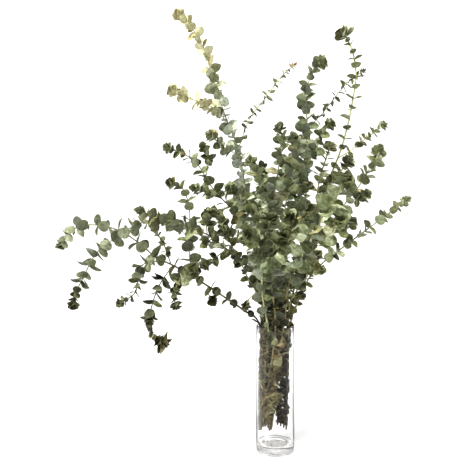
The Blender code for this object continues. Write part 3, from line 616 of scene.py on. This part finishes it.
def look_of(stem, station, point, trial):
    """How one pair of leaves is set. Each further trial turns it another way and makes it smaller."""
    branch = stem.branch
    draw = random.Random(f"{branch.name} {stem.number} {station} {trial}")
    place, frame = stem.points[point], stem.frames[point]
    grown_share = min(1, (stem.last - point) * CURVE_STEP / TIP_LENGTH)
    swing = min(MOST_SWING, SWING + SWING_STEP * trial)
    azimuth = math.radians(90 * (station % 2) + draw.uniform(-swing, swing))
    facing = around(frame, azimuth).dot((EYE - place).normalized()) ** 2
    lift = SIDE_LIFT + (branch.facing_lift - SIDE_LIFT) * facing
    lift += draw.uniform(-LIFT_SPREAD, LIFT_SPREAD)
    lift = min(MOST_LIFT, lift + TIP_LIFT * (1 - grown_share))
    turn = min(MOST_TURN, branch.turn * draw.uniform(*TURN_SHARES))
    size = draw.uniform(*SIZE_SHARES) * (1 - SIZE_STEP * trial)
    above = max(0, place.z - VASE_HEIGHT) / (NECK_TOP - VASE_HEIGHT)
    size *= min(1, NECK_SIZE + (1 - NECK_SIZE) * above)
    if place.z < VASE_HEIGHT + PAIR_STEP:
        lift, turn, size = FOLDED_LIFT + lift * FOLDED_SHARE, turn * FOLDED_SHARE, size * FOLDED_SIZE
    return SimpleNamespace(
        point=point, past=0, frame=frame, azimuth=azimuth, lift=math.radians(lift),
        turn=math.radians(turn * draw.choice((-1, 1))),
        length=leaf_size(stem) * (TIP_SIZE + (1 - TIP_SIZE) * grown_share) * size)


class Room:
    """What already fills the space, so that no leaf crosses it."""

    def __init__(self):
        self.owners = []
        self.trees = []
        self.places = np.zeros((MOST_THINGS, 3))
        self.reaches = np.zeros(MOST_THINGS)

    def add(self, owner, points, faces):
        middle, reach, tree = self.measured(points, faces)
        self.places[len(self.trees)] = middle
        self.reaches[len(self.trees)] = reach
        self.owners.append(owner)
        self.trees.append(tree)

    def measured(self, points, faces):
        middle = sum(points, Vector()) / len(points)
        reach = max((point - middle).length for point in points)
        return middle, reach, BVHTree.FromPolygons(points, faces)

    def is_free(self, points, faces, skipped=None):
        middle, reach, tree = self.measured(points, faces)
        count = len(self.trees)
        apart = np.linalg.norm(self.places[:count] - np.array(middle), axis=1)
        near = np.nonzero(apart < reach + self.reaches[:count])[0]
        return not any(self.owners[i] != skipped and tree.overlap(self.trees[i]) for i in near)


def ring_of(centre, frame, radius):
    """Corners of a ring square to the stem, with two flat sides that face along its frame."""
    turns = [(2 * i - 1) * math.pi / ROOM_SIDES for i in range(ROOM_SIDES)]
    return [centre + around(frame, turn) * radius for turn in turns]


def tube_faces(rows, sides, first=0):
    """Four-cornered faces between rings of points that are numbered from first."""
    faces = []
    for start in range(first, first + rows * sides, sides):
        for i in range(sides):
            a, b = start + i, start + (i + 1) % sides
            faces.append((a, b, b + sides, a + sides))
    return faces


def tube_mesh(rings):
    """(points, triangles) of the open tube through the rings of corners."""
    points = [point for ring in rings for point in ring]
    faces = []
    for a, b, c, d in tube_faces(len(rings) - 1, len(rings[0])):
        faces += [(a, b, c), (a, c, d)]
    return points, faces


def filled_room(stems):
    """The room with every stem and the vase's wall in it."""
    room = Room()
    for stem in stems:
        rings = [ring_of(stem.points[i], stem.frames[i], stem.radius(i) + BLADE_GAP) for i in stem.stops()]
        for pair in zip(rings, rings[1:]):
            room.add(stem.owner, *tube_mesh(pair))
    inner, outer, top = VASE_INNER - BLADE_GAP, VASE_RADIUS + BLADE_GAP, VASE_HEIGHT + BLADE_GAP
    wall = [(inner, VASE_FLOOR), (inner, top), (outer, top), (outer, 0)]
    rings = [[on_ring(radius, 360 * i / VASE_SIDES, height) for i in range(VASE_SIDES)]
             for radius, height in wall]
    room.add("vase", *tube_mesh(rings))
    return room


def place_pairs(stems, room):
    """Gives stems their pairs, (look, signs): each pair or single leaf that finds a free place."""
    for stem in stems:
        for station, point in stem.leafy():
            best = (None, [])
            for trial in range(TRIES):
                look = look_of(stem, station, point, trial)
                signs = [sign for sign in (1, -1)
                         if room.is_free(*leaf_room(stem, look, sign), stem.owner)
                         and room.is_free(*leaf_room(stem, look, sign, OUTLINE))]
                best = max(best, (look, signs), key=lambda found: len(found[1]))
                if len(signs) == 2:
                    break
            look, signs = best
            for sign in signs:
                room.add((*stem.owner, "leaf"), *leaf_room(stem, look, sign))
            if signs:
                stem.pairs.append((look, signs))


def fill_places(stem, fullness):
    """Places of the pairs that the solid leaves out: (point number, turns by a quarter from the tip)."""
    solid = stem.leafy()
    quarters, point = stem.stations()[-1]
    if not stem.number:
        quarters += (point - LOWEST_PAIR) * CURVE_STEP / PAIR_STEP
        point = LOWEST_PAIR
    places = []
    for (start, near), (end, far) in zip(solid, solid[1:] + [(quarters, point)]):
        in_vase = stem.points[near].z < VASE_HEIGHT
        count = round((end - start) * (VASE_FULLNESS if in_vase else fullness))
        for i in range(1, count + (far == point)):
            places.append((round(near + (far - near) * i / count), start + (end - start) * i / count))
    return places


def fill_up(stems, room):
    """Adds the pairs that the solids leave out, and the small leaves at each tip."""
    for stem in stems:
        branch = stem.branch
        fullness = 1.0 if stem.number in branch.sparse else branch.fullness
        for point, quarters in fill_places(stem, fullness):
            for sign in (1, -1):
                for trial in range(FILL_TRIES):
                    look = look_of(stem, quarters, point, trial)
                    if stem.points[point].z < VASE_HEIGHT:
                        loosen(look, stem.owner, sign, trial)
                    elif stem.number in branch.fine:
                        look.lift *= FINE_LIFT
                        look.length *= FINE_LENGTH
                    shape = leaf_room(stem, look, sign)
                    free = room.is_free(*shape, stem.owner)
                    if free:
                        break
                look.length *= 1 if free else CROWDED_SIZE
                room.add((*stem.owner, "leaf"), *shape)
                stem.pairs.append((look, [sign]))
        bud = min(branch.bud, MOST_TWIG_BUD) if stem.number else branch.bud
        for step, (past, share, lift) in enumerate(TIP_LEAVES):
            look = look_of(stem, -1 - step, stem.last - 1, 0)
            look.past = past
            look.length = leaf_size(stem) * share * bud
            look.lift = math.radians(lift)
            look.turn = math.radians(BUD_TURN)
            stem.pairs.append((look, [1, -1]))


def loosen(look, owner, sign, trial):
    """Gives a wilted leaf a lift and a turn of its own."""
    draw = random.Random(f"wilted {owner} {look.point} {sign} {trial}")
    look.lift = math.radians(draw.uniform(*WILTED_LIFTS))
    look.turn = math.radians(draw.uniform(*WILTED_TURNS))


def clamped(value):
    return min(1.0, max(0.0, value))


class Blade:
    """The grid of a leaf: rings of points round a middle, on two faces that share the edge."""

    def __init__(self, spokes, rings):
        turns = 2 * math.pi * np.arange(spokes) / spokes
        turns = np.where(turns > math.pi, turns - 2 * math.pi, turns)
        self.angles = np.concatenate([[0.0], np.tile(turns, rings)])
        self.shares = np.concatenate([[0.0], np.repeat((np.arange(rings) + 1) / rings, spokes)])
        self.inner = 1 + spokes * (rings - 1)
        upper = [(0, 1 + (i + 1) % spokes, 1 + i) for i in range(spokes)]
        for a, b, c, d in tube_faces(rings - 1, spokes, 1):
            upper += [(a, c, d), (a, b, c)]
        upper = np.array(upper)
        lower = np.where(upper < self.inner, upper + len(self.angles), upper)[:, ::-1]
        self.faces = np.concatenate([upper, lower])
        self.under = np.repeat([0.0, 1.0], len(upper))


FULL_BLADE = Blade(24, 4)
WILTED_BLADE = Blade(18, 3)
SMALL_BLADE = Blade(14, 2)


def blade_points(blade, draw, length, arch, wilted):
    """A leaf that lies along +Y: its points in metres, and their (x, y, share to the edge) in leaf lengths.

    A wilted leaf is narrower, more pointed and rolled up.
    """
    angle, share = blade.angles, blade.shares
    from_base = math.pi - np.abs(angle)
    length *= 1 + (WILTED_SIZE - 1) * wilted
    point = draw.uniform(*POINTS) + WILTED_POINT * wilted
    edge = 0.5 + point * np.exp(-(angle / TIP_SPREAD) ** 2) - NOTCH * np.exp(-(from_base / NOTCH_SPREAD) ** 2)
    edge *= (1 + WAVE * np.sin(3 * angle + draw.uniform(*PHASES))
             + SMALL_WAVE * np.sin(5 * angle + draw.uniform(*PHASES)))
    x = share * edge * np.sin(angle) * draw.uniform(*WIDTHS) * (1 + (WILTED_WIDTH - 1) * wilted)
    y = MIDDLE + share * edge * np.cos(angle)
    arch += wilted * draw.uniform(*WILTED_ARCHES)
    cup = draw.uniform(*CUPS) + wilted * draw.uniform(*WILTED_CUPS)
    fold = draw.uniform(*FOLDS)
    ripple = draw.uniform(*RIPPLES)
    z = (-arch * y ** 2 + cup * x ** 2 + fold * np.sqrt(x ** 2 + FOLD_ROUNDING)
         + ripple * share ** 3 * np.sin(draw.choice(RIPPLE_WAVES) * angle + draw.uniform(*PHASES)))
    flat = np.stack([x, y, share], axis=1)
    half = LEAF_THICKNESS / 2 * (1 - share ** 4)
    upper, lower = (np.stack([x * length, y * length, z * length + rise], axis=1) for rise in (half, -half))
    return np.concatenate([upper, lower[:blade.inner]]), np.concatenate([flat, flat[:blade.inner]])


def kept_off_glass(points, root, draw):
    """The points of a leaf, pressed flat against the glass where they would go through it."""
    from_axis = math.hypot(root.x, root.y)
    away = np.maximum(np.hypot(points[:, 0], points[:, 1]), 1e-6)
    above = np.maximum(points[:, 2] - VASE_HEIGHT, 0)
    scale = np.ones(len(points))
    if from_axis > VASE_RADIUS:
        gap = GLASS_GAP + draw.uniform(0, GLASS_SPREAD) * MM
        scale = np.maximum(1, (VASE_RADIUS + gap - OUTER_SLOPE * above) / away)
    elif root.z < VASE_HEIGHT + RIM_REACH:
        lean = draw.uniform(-PRESSED_LEAN, PRESSED_LEAN) * (points[:, 2] - root.z)
        depth = np.maximum(0, draw.uniform(0, PRESSED_DEPTH) + lean)
        scale = np.minimum(1, (VASE_INNER - INNER_GAP - depth + INNER_SLOPE * above) / away)
    points[:, :2] *= scale[:, None]
    points[:, 2] = np.maximum(points[:, 2], LOWEST_LEAF)
    if from_axis < VASE_RADIUS and root.z < VASE_HEIGHT - CLEAR_TOP:
        keep_clear(points, root, draw)
    return points


def keep_clear(points, root, draw):
    """Presses a leaf to its side of the gap between the groups of feet, and off the vase's right side."""
    near = EYE.y / (EYE.y - points[:, 1])
    seen = EYE.x + (points[:, 0] - EYE.x) * near
    seen_root = EYE.x + (root.x - EYE.x) * EYE.y / (EYE.y - root.y)
    share = 1 - (points[:, 2] - VASE_FLOOR) / GAP_HEIGHT
    half = GAP_HALF * np.sqrt(np.clip(share, 0, 1)) + draw.uniform(*GAP_SPREAD) * MM
    if seen_root < GAP_PLACE:
        seen = np.where(share > 0, np.minimum(seen, GAP_PLACE - half), seen)
    else:
        seen = np.where(share > 0, np.maximum(seen, GAP_PLACE + half), seen)
    right = CLEAR_SIDE + CLEAR_SLOPE * points[:, 2] + draw.uniform(0, 1) ** 3 * CLEAR_SPREAD * MM
    seen = np.minimum(seen, np.maximum(right, seen_root + 2 * MM))
    points[:, 0] = EYE.x + (seen - EYE.x) / near


def tone_of(stem, look, draw):
    """How a leaf is coloured, each from 0 to 1: (light, yellow, brown, blush, frost)."""
    branch, number = stem.branch, stem.number
    to_tip = (stem.last - look.point) * CURVE_STEP
    height = stem.points[look.point].z - VASE_HEIGHT
    is_fine = number in branch.fine
    light = draw.gauss(0.5, branch.varied if height > 0 else WILTED_VARIED) + branch.light
    # Painted shade: leaves just over the rim, and all those in the vase, are made darker for the shade among
    # the dense leaves there
    light -= NECK_PAINTED_SHADE * max(0.0, 1 - height / NECK_SHADE) if height > 0 else VASE_PAINTED_SHADE
    yellow = branch.yellow * draw.uniform(*YELLOW_SHARES) + max(0.0, TIP_YELLOW - to_tip)
    light -= FINE_DARKER if is_fine else 0.0
    cream = 0.0
    if number in branch.cream:
        cream = clamped(CREAM_RISE * (1 - to_tip / (branch.cream[number] * MM)))
        yellow = max(yellow, cream * draw.uniform(*CREAM_YELLOWS))
        light += CREAM_LIGHTER * cream
    brown = clamped(BROWN_AT_RIM - height / BROWN_HEIGHT) * draw.uniform(*BROWN_SHARES)
    brown *= FRESH_BROWN if number in branch.fresh else 1.0
    if draw.random() < DRY_SHARE:
        brown = max(brown, draw.uniform(*DRY_BROWNS))
    elif draw.random() < GOLDEN_SHARE and height > NECK_SHADE:
        yellow = max(yellow, draw.uniform(*GOLDEN_YELLOWS))
    blush = 0.0
    if number in branch.blush:
        blush = max(0.0, BLUSH_RISE - to_tip / (branch.blush[number] * MM)) * draw.uniform(*BLUSH_SHARES)
    frost = branch.frost * draw.choice(FROST_SHARES) * min(1.0, to_tip / FROST_FULL) * (1 - cream)
    frost *= 0.0 if is_fine else clamped(height / NECK_SHADE)
    return [clamped(value) for value in (light, yellow, brown, blush, frost)]


def new_mesh(name, points, faces, sharp=None):
    """A mesh with smooth faces, that keep an edge where they meet at more than so many degrees."""
    mesh = bpy.data.meshes.new(name)
    mesh.from_pydata(points, [], faces)
    mesh.shade_smooth()
    if sharp:
        mesh.set_sharp_from_angle(angle=math.radians(sharp))
    return mesh


def store(mesh, name, kind, domain, values, field):
    layer = mesh.attributes.new(name, kind, domain)
    layer.data.foreach_set(field, np.ascontiguousarray(values, np.float32).ravel())


def leaves_mesh(branch):
    """All the leaves of a branch, as one mesh of closed blades."""
    points, faces, flats, tones, under = [], [], [], [], []
    count = 0
    single = [(stem, look, sign) for stem in branch.stems for look, signs in stem.pairs for sign in signs]
    for stem, look, sign in single:
        draw = random.Random(f"blade {branch.name} {stem.number} {look.point} {sign} {look.past}")
        root, rib, side, up = leaf_frame(stem, look, sign)
        wilted = clamped((VASE_HEIGHT + WILT_OVER_RIM - root.z) / WILT_BLEND)
        blade = WILTED_BLADE if wilted == 1.0 else SMALL_BLADE if look.length < SMALL_LEAF else FULL_BLADE
        shape, flat = blade_points(blade, draw, look.length, ARCH * draw.uniform(*ARCHES), wilted)
        shape[:, 0] *= FINE_WIDTH if stem.number in branch.fine else 1.0
        placed = (np.array(root) + shape[:, :1] * np.array(side) + shape[:, 1:2] * np.array(rib)
                  + shape[:, 2:] * np.array(up))
        faces.append(blade.faces + count)
        points.append(kept_off_glass(placed, root, draw))
        flats.append(flat)
        tones.append(np.tile(tone_of(stem, look, draw), (len(placed), 1)))
        under.append(blade.under)
        count += len(placed)
    mesh = new_mesh("leaves_" + branch.name, np.concatenate(points), np.concatenate(faces), 75)
    tones = np.concatenate(tones)
    store(mesh, "leaf_place", "FLOAT_VECTOR", "POINT", np.concatenate(flats), "vector")
    store(mesh, "leaf_tone", "FLOAT_COLOR", "POINT", tones[:, :4], "color")
    store(mesh, "leaf_frost", "FLOAT", "POINT", tones[:, 4], "value")
    store(mesh, "leaf_under", "FLOAT", "FACE", np.concatenate(under), "value")
    return mesh


def wood_mesh(branch):
    """The stem and twigs: round tubes that swell where leaves grow, with a slanting cut at the foot."""
    points, faces, looks = [], [], []
    for stem in branch.stems:
        nodes = np.array(sorted({look.point for look, _ in stem.pairs}))
        wave = random.Random(f"wood {branch.name} {stem.number}").uniform(*PHASES)
        first = len(points)
        along = (stem.points[1] - stem.points[0]).normalized()
        for i, (point, frame) in enumerate(zip(stem.points, stem.frames)):
            near = np.abs(nodes - i).min() * CURVE_STEP if len(nodes) else 1.0
            swell = 1 + NODE_SWELL * math.exp(-(near / NODE_LENGTH) ** 2)
            swell += UNEVEN * math.sin(i * UNEVEN_TURN + wave)
            over_rim = clamped((point.z - VASE_HEIGHT) / GIRTH_BLEND)
            girth = VASE_GIRTH + (branch.girth - VASE_GIRTH) * over_rim
            radius = stem.radius(i) * girth * swell * (TIP_END if i == stem.last else 1)
            is_cut = i == 0 and stem.number == 0
            for side in range(STEM_SIDES):
                turn = 2 * math.pi * side / STEM_SIDES
                slant = radius * math.cos(turn) if is_cut else 0.0
                points.append(point + around(frame, turn) * radius + along * slant)
                looks.append((branch.stem, (stem.last - i) * CURVE_STEP, float(is_cut), side / STEM_SIDES))
        faces += tube_faces(stem.last, STEM_SIDES, first)
        faces.append(tuple(range(first + STEM_SIDES - 1, first - 1, -1)))
        faces.append(tuple(range(len(points) - STEM_SIDES, len(points))))
    mesh = new_mesh("wood_" + branch.name, points, faces, 60)
    store(mesh, "wood_place", "FLOAT_COLOR", "POINT", np.array(looks), "color")
    return mesh


class Shader:
    """A material's node tree, with short calls to add and link nodes."""

    def __init__(self, name):
        self.material = bpy.data.materials.new(name)
        self.material.use_nodes = True
        self.tree = self.material.node_tree
        self.principled = self.tree.nodes["Principled BSDF"]

    def node(self, kind, *values, **named):
        """A new node with its inputs set, in their order or by name."""
        made = self.tree.nodes.new("ShaderNode" + kind)
        for key, value in [*enumerate(values), *named.items()]:
            self.set(made.inputs[key], value)
        return made

    def set(self, socket, value):
        if isinstance(value, bpy.types.NodeSocket):
            self.tree.links.new(value, socket)
        elif isinstance(value, tuple) and len(value) == 3 and socket.type == "RGBA":
            socket.default_value = (*value, 1)
        else:
            socket.default_value = value

    def coat(self, **inputs):
        """Sets inputs of the Principled shader, by their names with low lines for spaces."""
        for name, value in inputs.items():
            self.set(self.principled.inputs[name.replace("_", " ")], value)

    def math(self, operation, *values, clamp=False):
        made = self.node("Math", *values)
        made.operation = operation
        made.use_clamp = clamp
        return made.outputs[0]

    def times(self, a, b):
        return self.math("MULTIPLY", a, b)

    def spread(self, value, low, high, to_low=0.0, to_high=1.0, smooth=True):
        made = self.node("MapRange", value, low, high, to_low, to_high)
        made.interpolation_type = "SMOOTHSTEP" if smooth else "LINEAR"
        return made.outputs[0]

    def place(self):
        return self.node("TexCoord").outputs["Object"]

    def noise(self, scale, detail, vector=None):
        return self.node("TexNoise", vector or self.place(), Scale=scale, Detail=detail).outputs["Fac"]

    def ramp(self, value, stops):
        made = self.node("ValToRGB", value)
        band = made.color_ramp
        while len(band.elements) < len(stops):
            band.elements.new(0.5)
        for element, (place, colour) in zip(band.elements, stops):
            element.position = place
            element.color = (*colour, 1)
        return made.outputs[0]

    def mix(self, factor, a, b):
        made = self.node("Mix")
        made.data_type = "RGBA"
        for key, value in ((0, factor), (6, a), (7, b)):
            self.set(made.inputs[key], value)
        return made.outputs[2]

    def attribute(self, name):
        made = self.node("Attribute")
        made.attribute_name = name
        return made.outputs

    def bump(self, height, distance, strength):
        made = self.node("Bump", Height=height, Distance=distance, Strength=strength)
        self.coat(Normal=made.outputs[0])
        return made.outputs[0]

    def surface(self, factor, other):
        """Mixes the Principled shader with another one, and makes the result the material's."""
        mixed = self.node("MixShader", factor, self.principled.outputs[0], other.outputs[0])
        self.set(self.tree.nodes["Material Output"].inputs["Surface"], mixed.outputs[0])


def leaf_material():
    """A waxy leaf: mottled grey-green, with paler veins, edge and underside, and a bloom rubbed in places."""
    s = Shader("eucalyptus_leaf")
    x, y, to_edge = s.node("SeparateXYZ", s.attribute("leaf_place")["Vector"]).outputs
    tone = s.attribute("leaf_tone")
    light, yellow, brown = s.node("SeparateColor", tone["Color"]).outputs
    under, frost = s.attribute("leaf_under")["Fac"], s.attribute("leaf_frost")["Fac"]

    mottle = s.noise(150.0, 5.0)
    patch = s.noise(28.0, 2.0)
    level = s.math("ADD", light, s.spread(mottle, 0.3, 0.7, -0.22, 0.22, smooth=False), clamp=True)
    green, gold, dry = (s.ramp(level, stops) for stops in (LEAF_GREENS, LEAF_GOLDS, LEAF_BROWNS))
    colour = s.mix(s.times(s.spread(patch, 0.42, 0.68), BLOOM_SHARE), green, BLOOM)
    colour = s.mix(s.times(frost, s.spread(mottle, 0.35, 0.65, 0.35, 1.0)), colour, FROST)
    colour = s.mix(yellow, colour, gold)

    # Veins: the rib, and side veins that slope up from it in even steps and fade towards the edge
    across = s.math("ABSOLUTE", x)
    rib = s.spread(across, 0.006, 0.02, 1.0, 0.0)
    slope = s.math("MULTIPLY_ADD", across, -0.85, y)
    wave = s.math("FRACT", s.math("MULTIPLY_ADD", slope, 8.0, s.times(patch, 0.6)))
    from_vein = s.math("ABSOLUTE", s.math("SUBTRACT", wave, 0.5))
    side_vein = s.times(s.spread(from_vein, 0.03, 0.12, 1.0, 0.0), s.spread(to_edge, 0.75, 1.0, 0.55, 0.0))
    vein = s.math("MAXIMUM", rib, side_vein)
    colour = s.mix(s.times(vein, 0.46), colour, VEIN)

    edge_colour = s.mix(yellow, LEAF_EDGE, CREAM_EDGE)
    colour = s.mix(s.times(s.spread(to_edge, 0.84, 1.0), 0.42), colour, edge_colour)
    colour = s.mix(brown, colour, s.mix(s.spread(to_edge, 0.7, 1.0, 0.0, 0.6), dry, DRY_EDGE))
    colour = s.mix(s.times(tone["Alpha"], s.spread(to_edge, 0.1, 1.0, 0.55, 1.0)), colour, BLUSH)
    paler = s.times(under, s.spread(brown, 0.0, 0.8, 0.24, 0.04, smooth=False))
    colour = s.mix(paler, colour, LEAF_UNDER)
    s.coat(Base_Color=colour, Roughness=s.spread(mottle, 0.3, 0.7, 0.50, 0.68, smooth=False))
    s.coat(Specular_IOR_Level=0.14)
    height = s.math("MULTIPLY_ADD", vein, -0.8, s.times(s.noise(900.0, 2.0), 0.35))
    normal = s.bump(height, 0.0006, 0.7)
    s.surface(GLOW_SHARE, s.node("BsdfTranslucent", s.mix(0.55, colour, GLOW), Normal=normal))
    return s.material


def wood_material():
    """A stem: pale green at its tip, and grey-brown bark with fine streaks towards its foot."""
    s = Shader("eucalyptus_wood")
    place = s.attribute("wood_place")
    pale, to_tip, cut = s.node("SeparateColor", place["Color"]).outputs
    along_stem = s.node("CombineXYZ", s.times(to_tip, 60.0), s.times(place["Alpha"], 9.0), cut).outputs[0]
    streaks = s.noise(1.0, 4.0, along_stem)
    patch = s.noise(45.0, 3.0)
    uneven = s.spread(patch, 0.3, 0.7, -0.16, 0.16, smooth=False)
    age = s.math("ADD", s.spread(to_tip, 0.0, 0.55, smooth=False), uneven, clamp=True)
    colour = s.mix(pale, s.ramp(age, WOOD_DARK), s.ramp(age, WOOD_PALE))
    colour = s.mix(s.spread(streaks, 0.45, 0.62, 0.0, 0.45), colour, WOOD_STREAK)
    colour = s.mix(cut, colour, WOOD_CUT)
    height = s.node("SeparateXYZ", s.place()).outputs[2]
    # Stems turn darker lower down in the vase
    colour = s.mix(s.spread(height, VASE_HEIGHT * 0.4, VASE_HEIGHT, 0.75, 0.0), colour, WOOD_LOW_DARK)
    s.coat(Base_Color=colour, Roughness=s.spread(patch, 0.3, 0.7, 0.55, 0.75, smooth=False))
    s.bump(streaks, 0.0004, 0.7)
    return s.material


def glass_material():
    """Clear glass with a faint waviness and a frosted hollow underneath, which is tinted dark as painted
    shade for the shadowed floor seen through it. Light from lamps passes through it.

    Seen along its wall, the glass is tinted grey as painted shade for the dark lines at its edges, and bends
    the light less, more so lower down.
    """
    s = Shader("clear_glass")
    s.coat(Transmission_Weight=1.0, Specular_Tint=SPECULAR_TINT)
    x, y, height = s.node("SeparateXYZ", s.place()).outputs
    from_axis = s.node("VectorMath", s.node("CombineXYZ", x, y).outputs[0])
    from_axis.operation = "LENGTH"
    # The frosted hollow: rougher, and tinted dark as painted shade for the shadowed floor seen through it
    frosted_and_shaded = s.times(s.spread(height, *FROSTED_AND_SHADED_HEIGHTS, 1.0, 0.0),
                      s.spread(from_axis.outputs["Value"], *FROSTED_AND_SHADED_RADII, 1.0, 0.0))
    # Glass seen along its wall is tinted grey, a painted shade for the dark lines at its edges
    along_wall = s.spread(s.node("LayerWeight", 0.5).outputs["Facing"], 0.60, 0.90)
    grazing = s.times(along_wall, s.spread(height, 0.06, 0.24, 1.0, 0.6))
    s.coat(Base_Color=s.mix(frosted_and_shaded, s.mix(grazing, GLASS_TINT, EDGE_PAINTED_SHADE), BASE_PAINTED_SHADE))
    s.coat(IOR=s.math("MULTIPLY_ADD", grazing, EDGE_IOR - GLASS_IOR, GLASS_IOR))
    uneven = s.spread(s.noise(30.0, 2.0), 0.4, 0.75, 0.0, 0.025)
    s.coat(Roughness=s.math("MULTIPLY_ADD", frosted_and_shaded, FROSTED_ROUGHNESS, uneven))
    s.bump(s.noise(14.0, 1.0), 0.0004, 0.25)
    s.surface(s.node("LightPath").outputs["Is Shadow Ray"], s.node("BsdfTransparent", GLASS_SHADOW))
    return s.material


def arc(centre, radius, start, end, count):
    """Points (r, z) on a round stretch of a profile, with its angles in degrees."""
    angles = [math.radians(start + (end - start) * i / count) for i in range(count + 1)]
    return [(centre[0] + radius * math.cos(a), centre[1] + radius * math.sin(a)) for a in angles]


def turned(name, profile):
    """A closed mesh of a profile of (r, z) points turned round the axis. It starts and ends on the axis."""
    sides, rows = GLASS_SIDES, len(profile) - 2
    turns = [2 * math.pi * i / sides for i in range(sides)]
    points = [(0, 0, profile[0][1])]
    points += [(r * math.cos(turn), r * math.sin(turn), z) for r, z in profile[1:-1] for turn in turns]
    points.append((0, 0, profile[-1][1]))
    faces = [(0, 1 + i, 1 + (i + 1) % sides) for i in range(sides)]
    faces += [(a, d, c, b) for a, b, c, d in tube_faces(rows - 1, sides, 1)]
    low = 1 + (rows - 1) * sides
    faces += [(low + i, len(points) - 1, low + (i + 1) % sides) for i in range(sides)]
    return new_mesh(name, points, faces, 50)


def vase_mesh():
    """The glass cylinder: a heavy floor with a rounded well, a fire-polished lip and a hollow underneath."""
    lip = VASE_WALL / 2
    profile = [(0, VASE_FLOOR - 0.6 * MM), (VASE_INNER * 0.6, VASE_FLOOR - 0.3 * MM)]
    profile += arc((VASE_INNER - WELL_EDGE, VASE_FLOOR + WELL_EDGE), WELL_EDGE, -90, 0, 6)
    profile += [(VASE_INNER, VASE_HEIGHT * share) for share in (0.3, 0.6, 0.9)]
    profile += arc((VASE_INNER + lip, VASE_HEIGHT - lip), lip, 180, 0, 10)
    profile += [(VASE_RADIUS, VASE_HEIGHT * share) for share in (0.9, 0.6, 0.3)]
    profile += arc((VASE_RADIUS - VASE_EDGE, VASE_EDGE), VASE_EDGE, 0, -90, 5)
    profile += [(HOLLOW_RADIUS + 5 * MM, 0), (HOLLOW_RADIUS + 2 * MM, HOLLOW_RISE * 0.3)]
    profile += [(HOLLOW_RADIUS * share, HOLLOW_RISE * rise) for share, rise in ((1, 1), (0.5, 1.3), (0, 1.4))]
    return turned("vase_glass", profile)


def put(name, data):
    """A new object in the scene."""
    made = bpy.data.objects.new(name, data)
    bpy.context.scene.collection.objects.link(made)
    return made


def make_piece(mesh, finish, node):
    """A piece with its mesh's name, in the place of a solid."""
    piece = put(mesh.name, mesh)
    mesh.materials.append(finish)
    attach(piece, "root")
    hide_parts(node)


def make_branches():
    stems = laid_out()
    room = filled_room(stems)
    place_pairs(stems, room)
    fill_up(stems, room)
    leaf, wood = leaf_material(), wood_material()
    for branch in BRANCHES:
        node = "branch_" + branch.name
        make_piece(leaves_mesh(branch), leaf, node)
        make_piece(wood_mesh(branch), wood, node)


def make_stage():
    """A plain pale floor that curves up into a backdrop."""
    s = Shader("studio_paper")
    s.coat(Base_Color=PAPER, Roughness=0.9)
    bend = [(STAGE_BACK + STAGE_BEND * math.sin(a), STAGE_BEND - STAGE_BEND * math.cos(a))
            for a in np.linspace(0.1, math.pi / 2, 14)]
    profile = [(STAGE_FRONT, 0.0), (STAGE_BACK, 0.0), *bend, (STAGE_BACK + STAGE_BEND, STAGE_TOP)]
    points = [(x, y, z) for y, z in profile for x in (-STAGE_SIDE, STAGE_SIDE)]
    faces = [(2 * i, 2 * i + 1, 2 * i + 3, 2 * i + 2) for i in range(len(profile) - 1)]
    floor = put("studio_floor", new_mesh("studio_floor", points, faces))
    floor.data.materials.append(s.material)


def make_light():
    world = bpy.data.worlds.new("studio")
    bpy.context.scene.world = world
    world.use_nodes = True
    background = world.node_tree.nodes["Background"]
    background.inputs["Color"].default_value = (1, 1, 1, 1)
    background.inputs["Strength"].default_value = WORLD_LIGHT
    for name, place, target, size, power in LAMPS:
        data = bpy.data.lights.new(name, "AREA")
        data.shape = "DISK"
        data.size = size
        data.energy = power
        lamp = put(name, data)
        lamp.location = place
        lamp.rotation_euler = (Vector(target) - Vector(place)).to_track_quat("-Z", "Y").to_euler()


def make_camera():
    """The photo's view: level, in front and a little to the left, with the frame raised a little."""
    data = bpy.data.cameras.new("camera")
    data.lens = 36.5
    data.sensor_width = 36
    data.shift_y = 0.025
    data.clip_start = 0.05
    camera = put("camera", data)
    camera.location = EYE
    camera.rotation_euler = (math.pi / 2, 0, 0)
    bpy.context.scene.camera = camera
    bpy.context.scene.view_settings.view_transform = "Standard"
    bpy.context.scene.view_settings.look = "Medium High Contrast"


make_piece(vase_mesh(), glass_material(), "vase")
make_branches()
make_stage()
make_light()
make_camera()
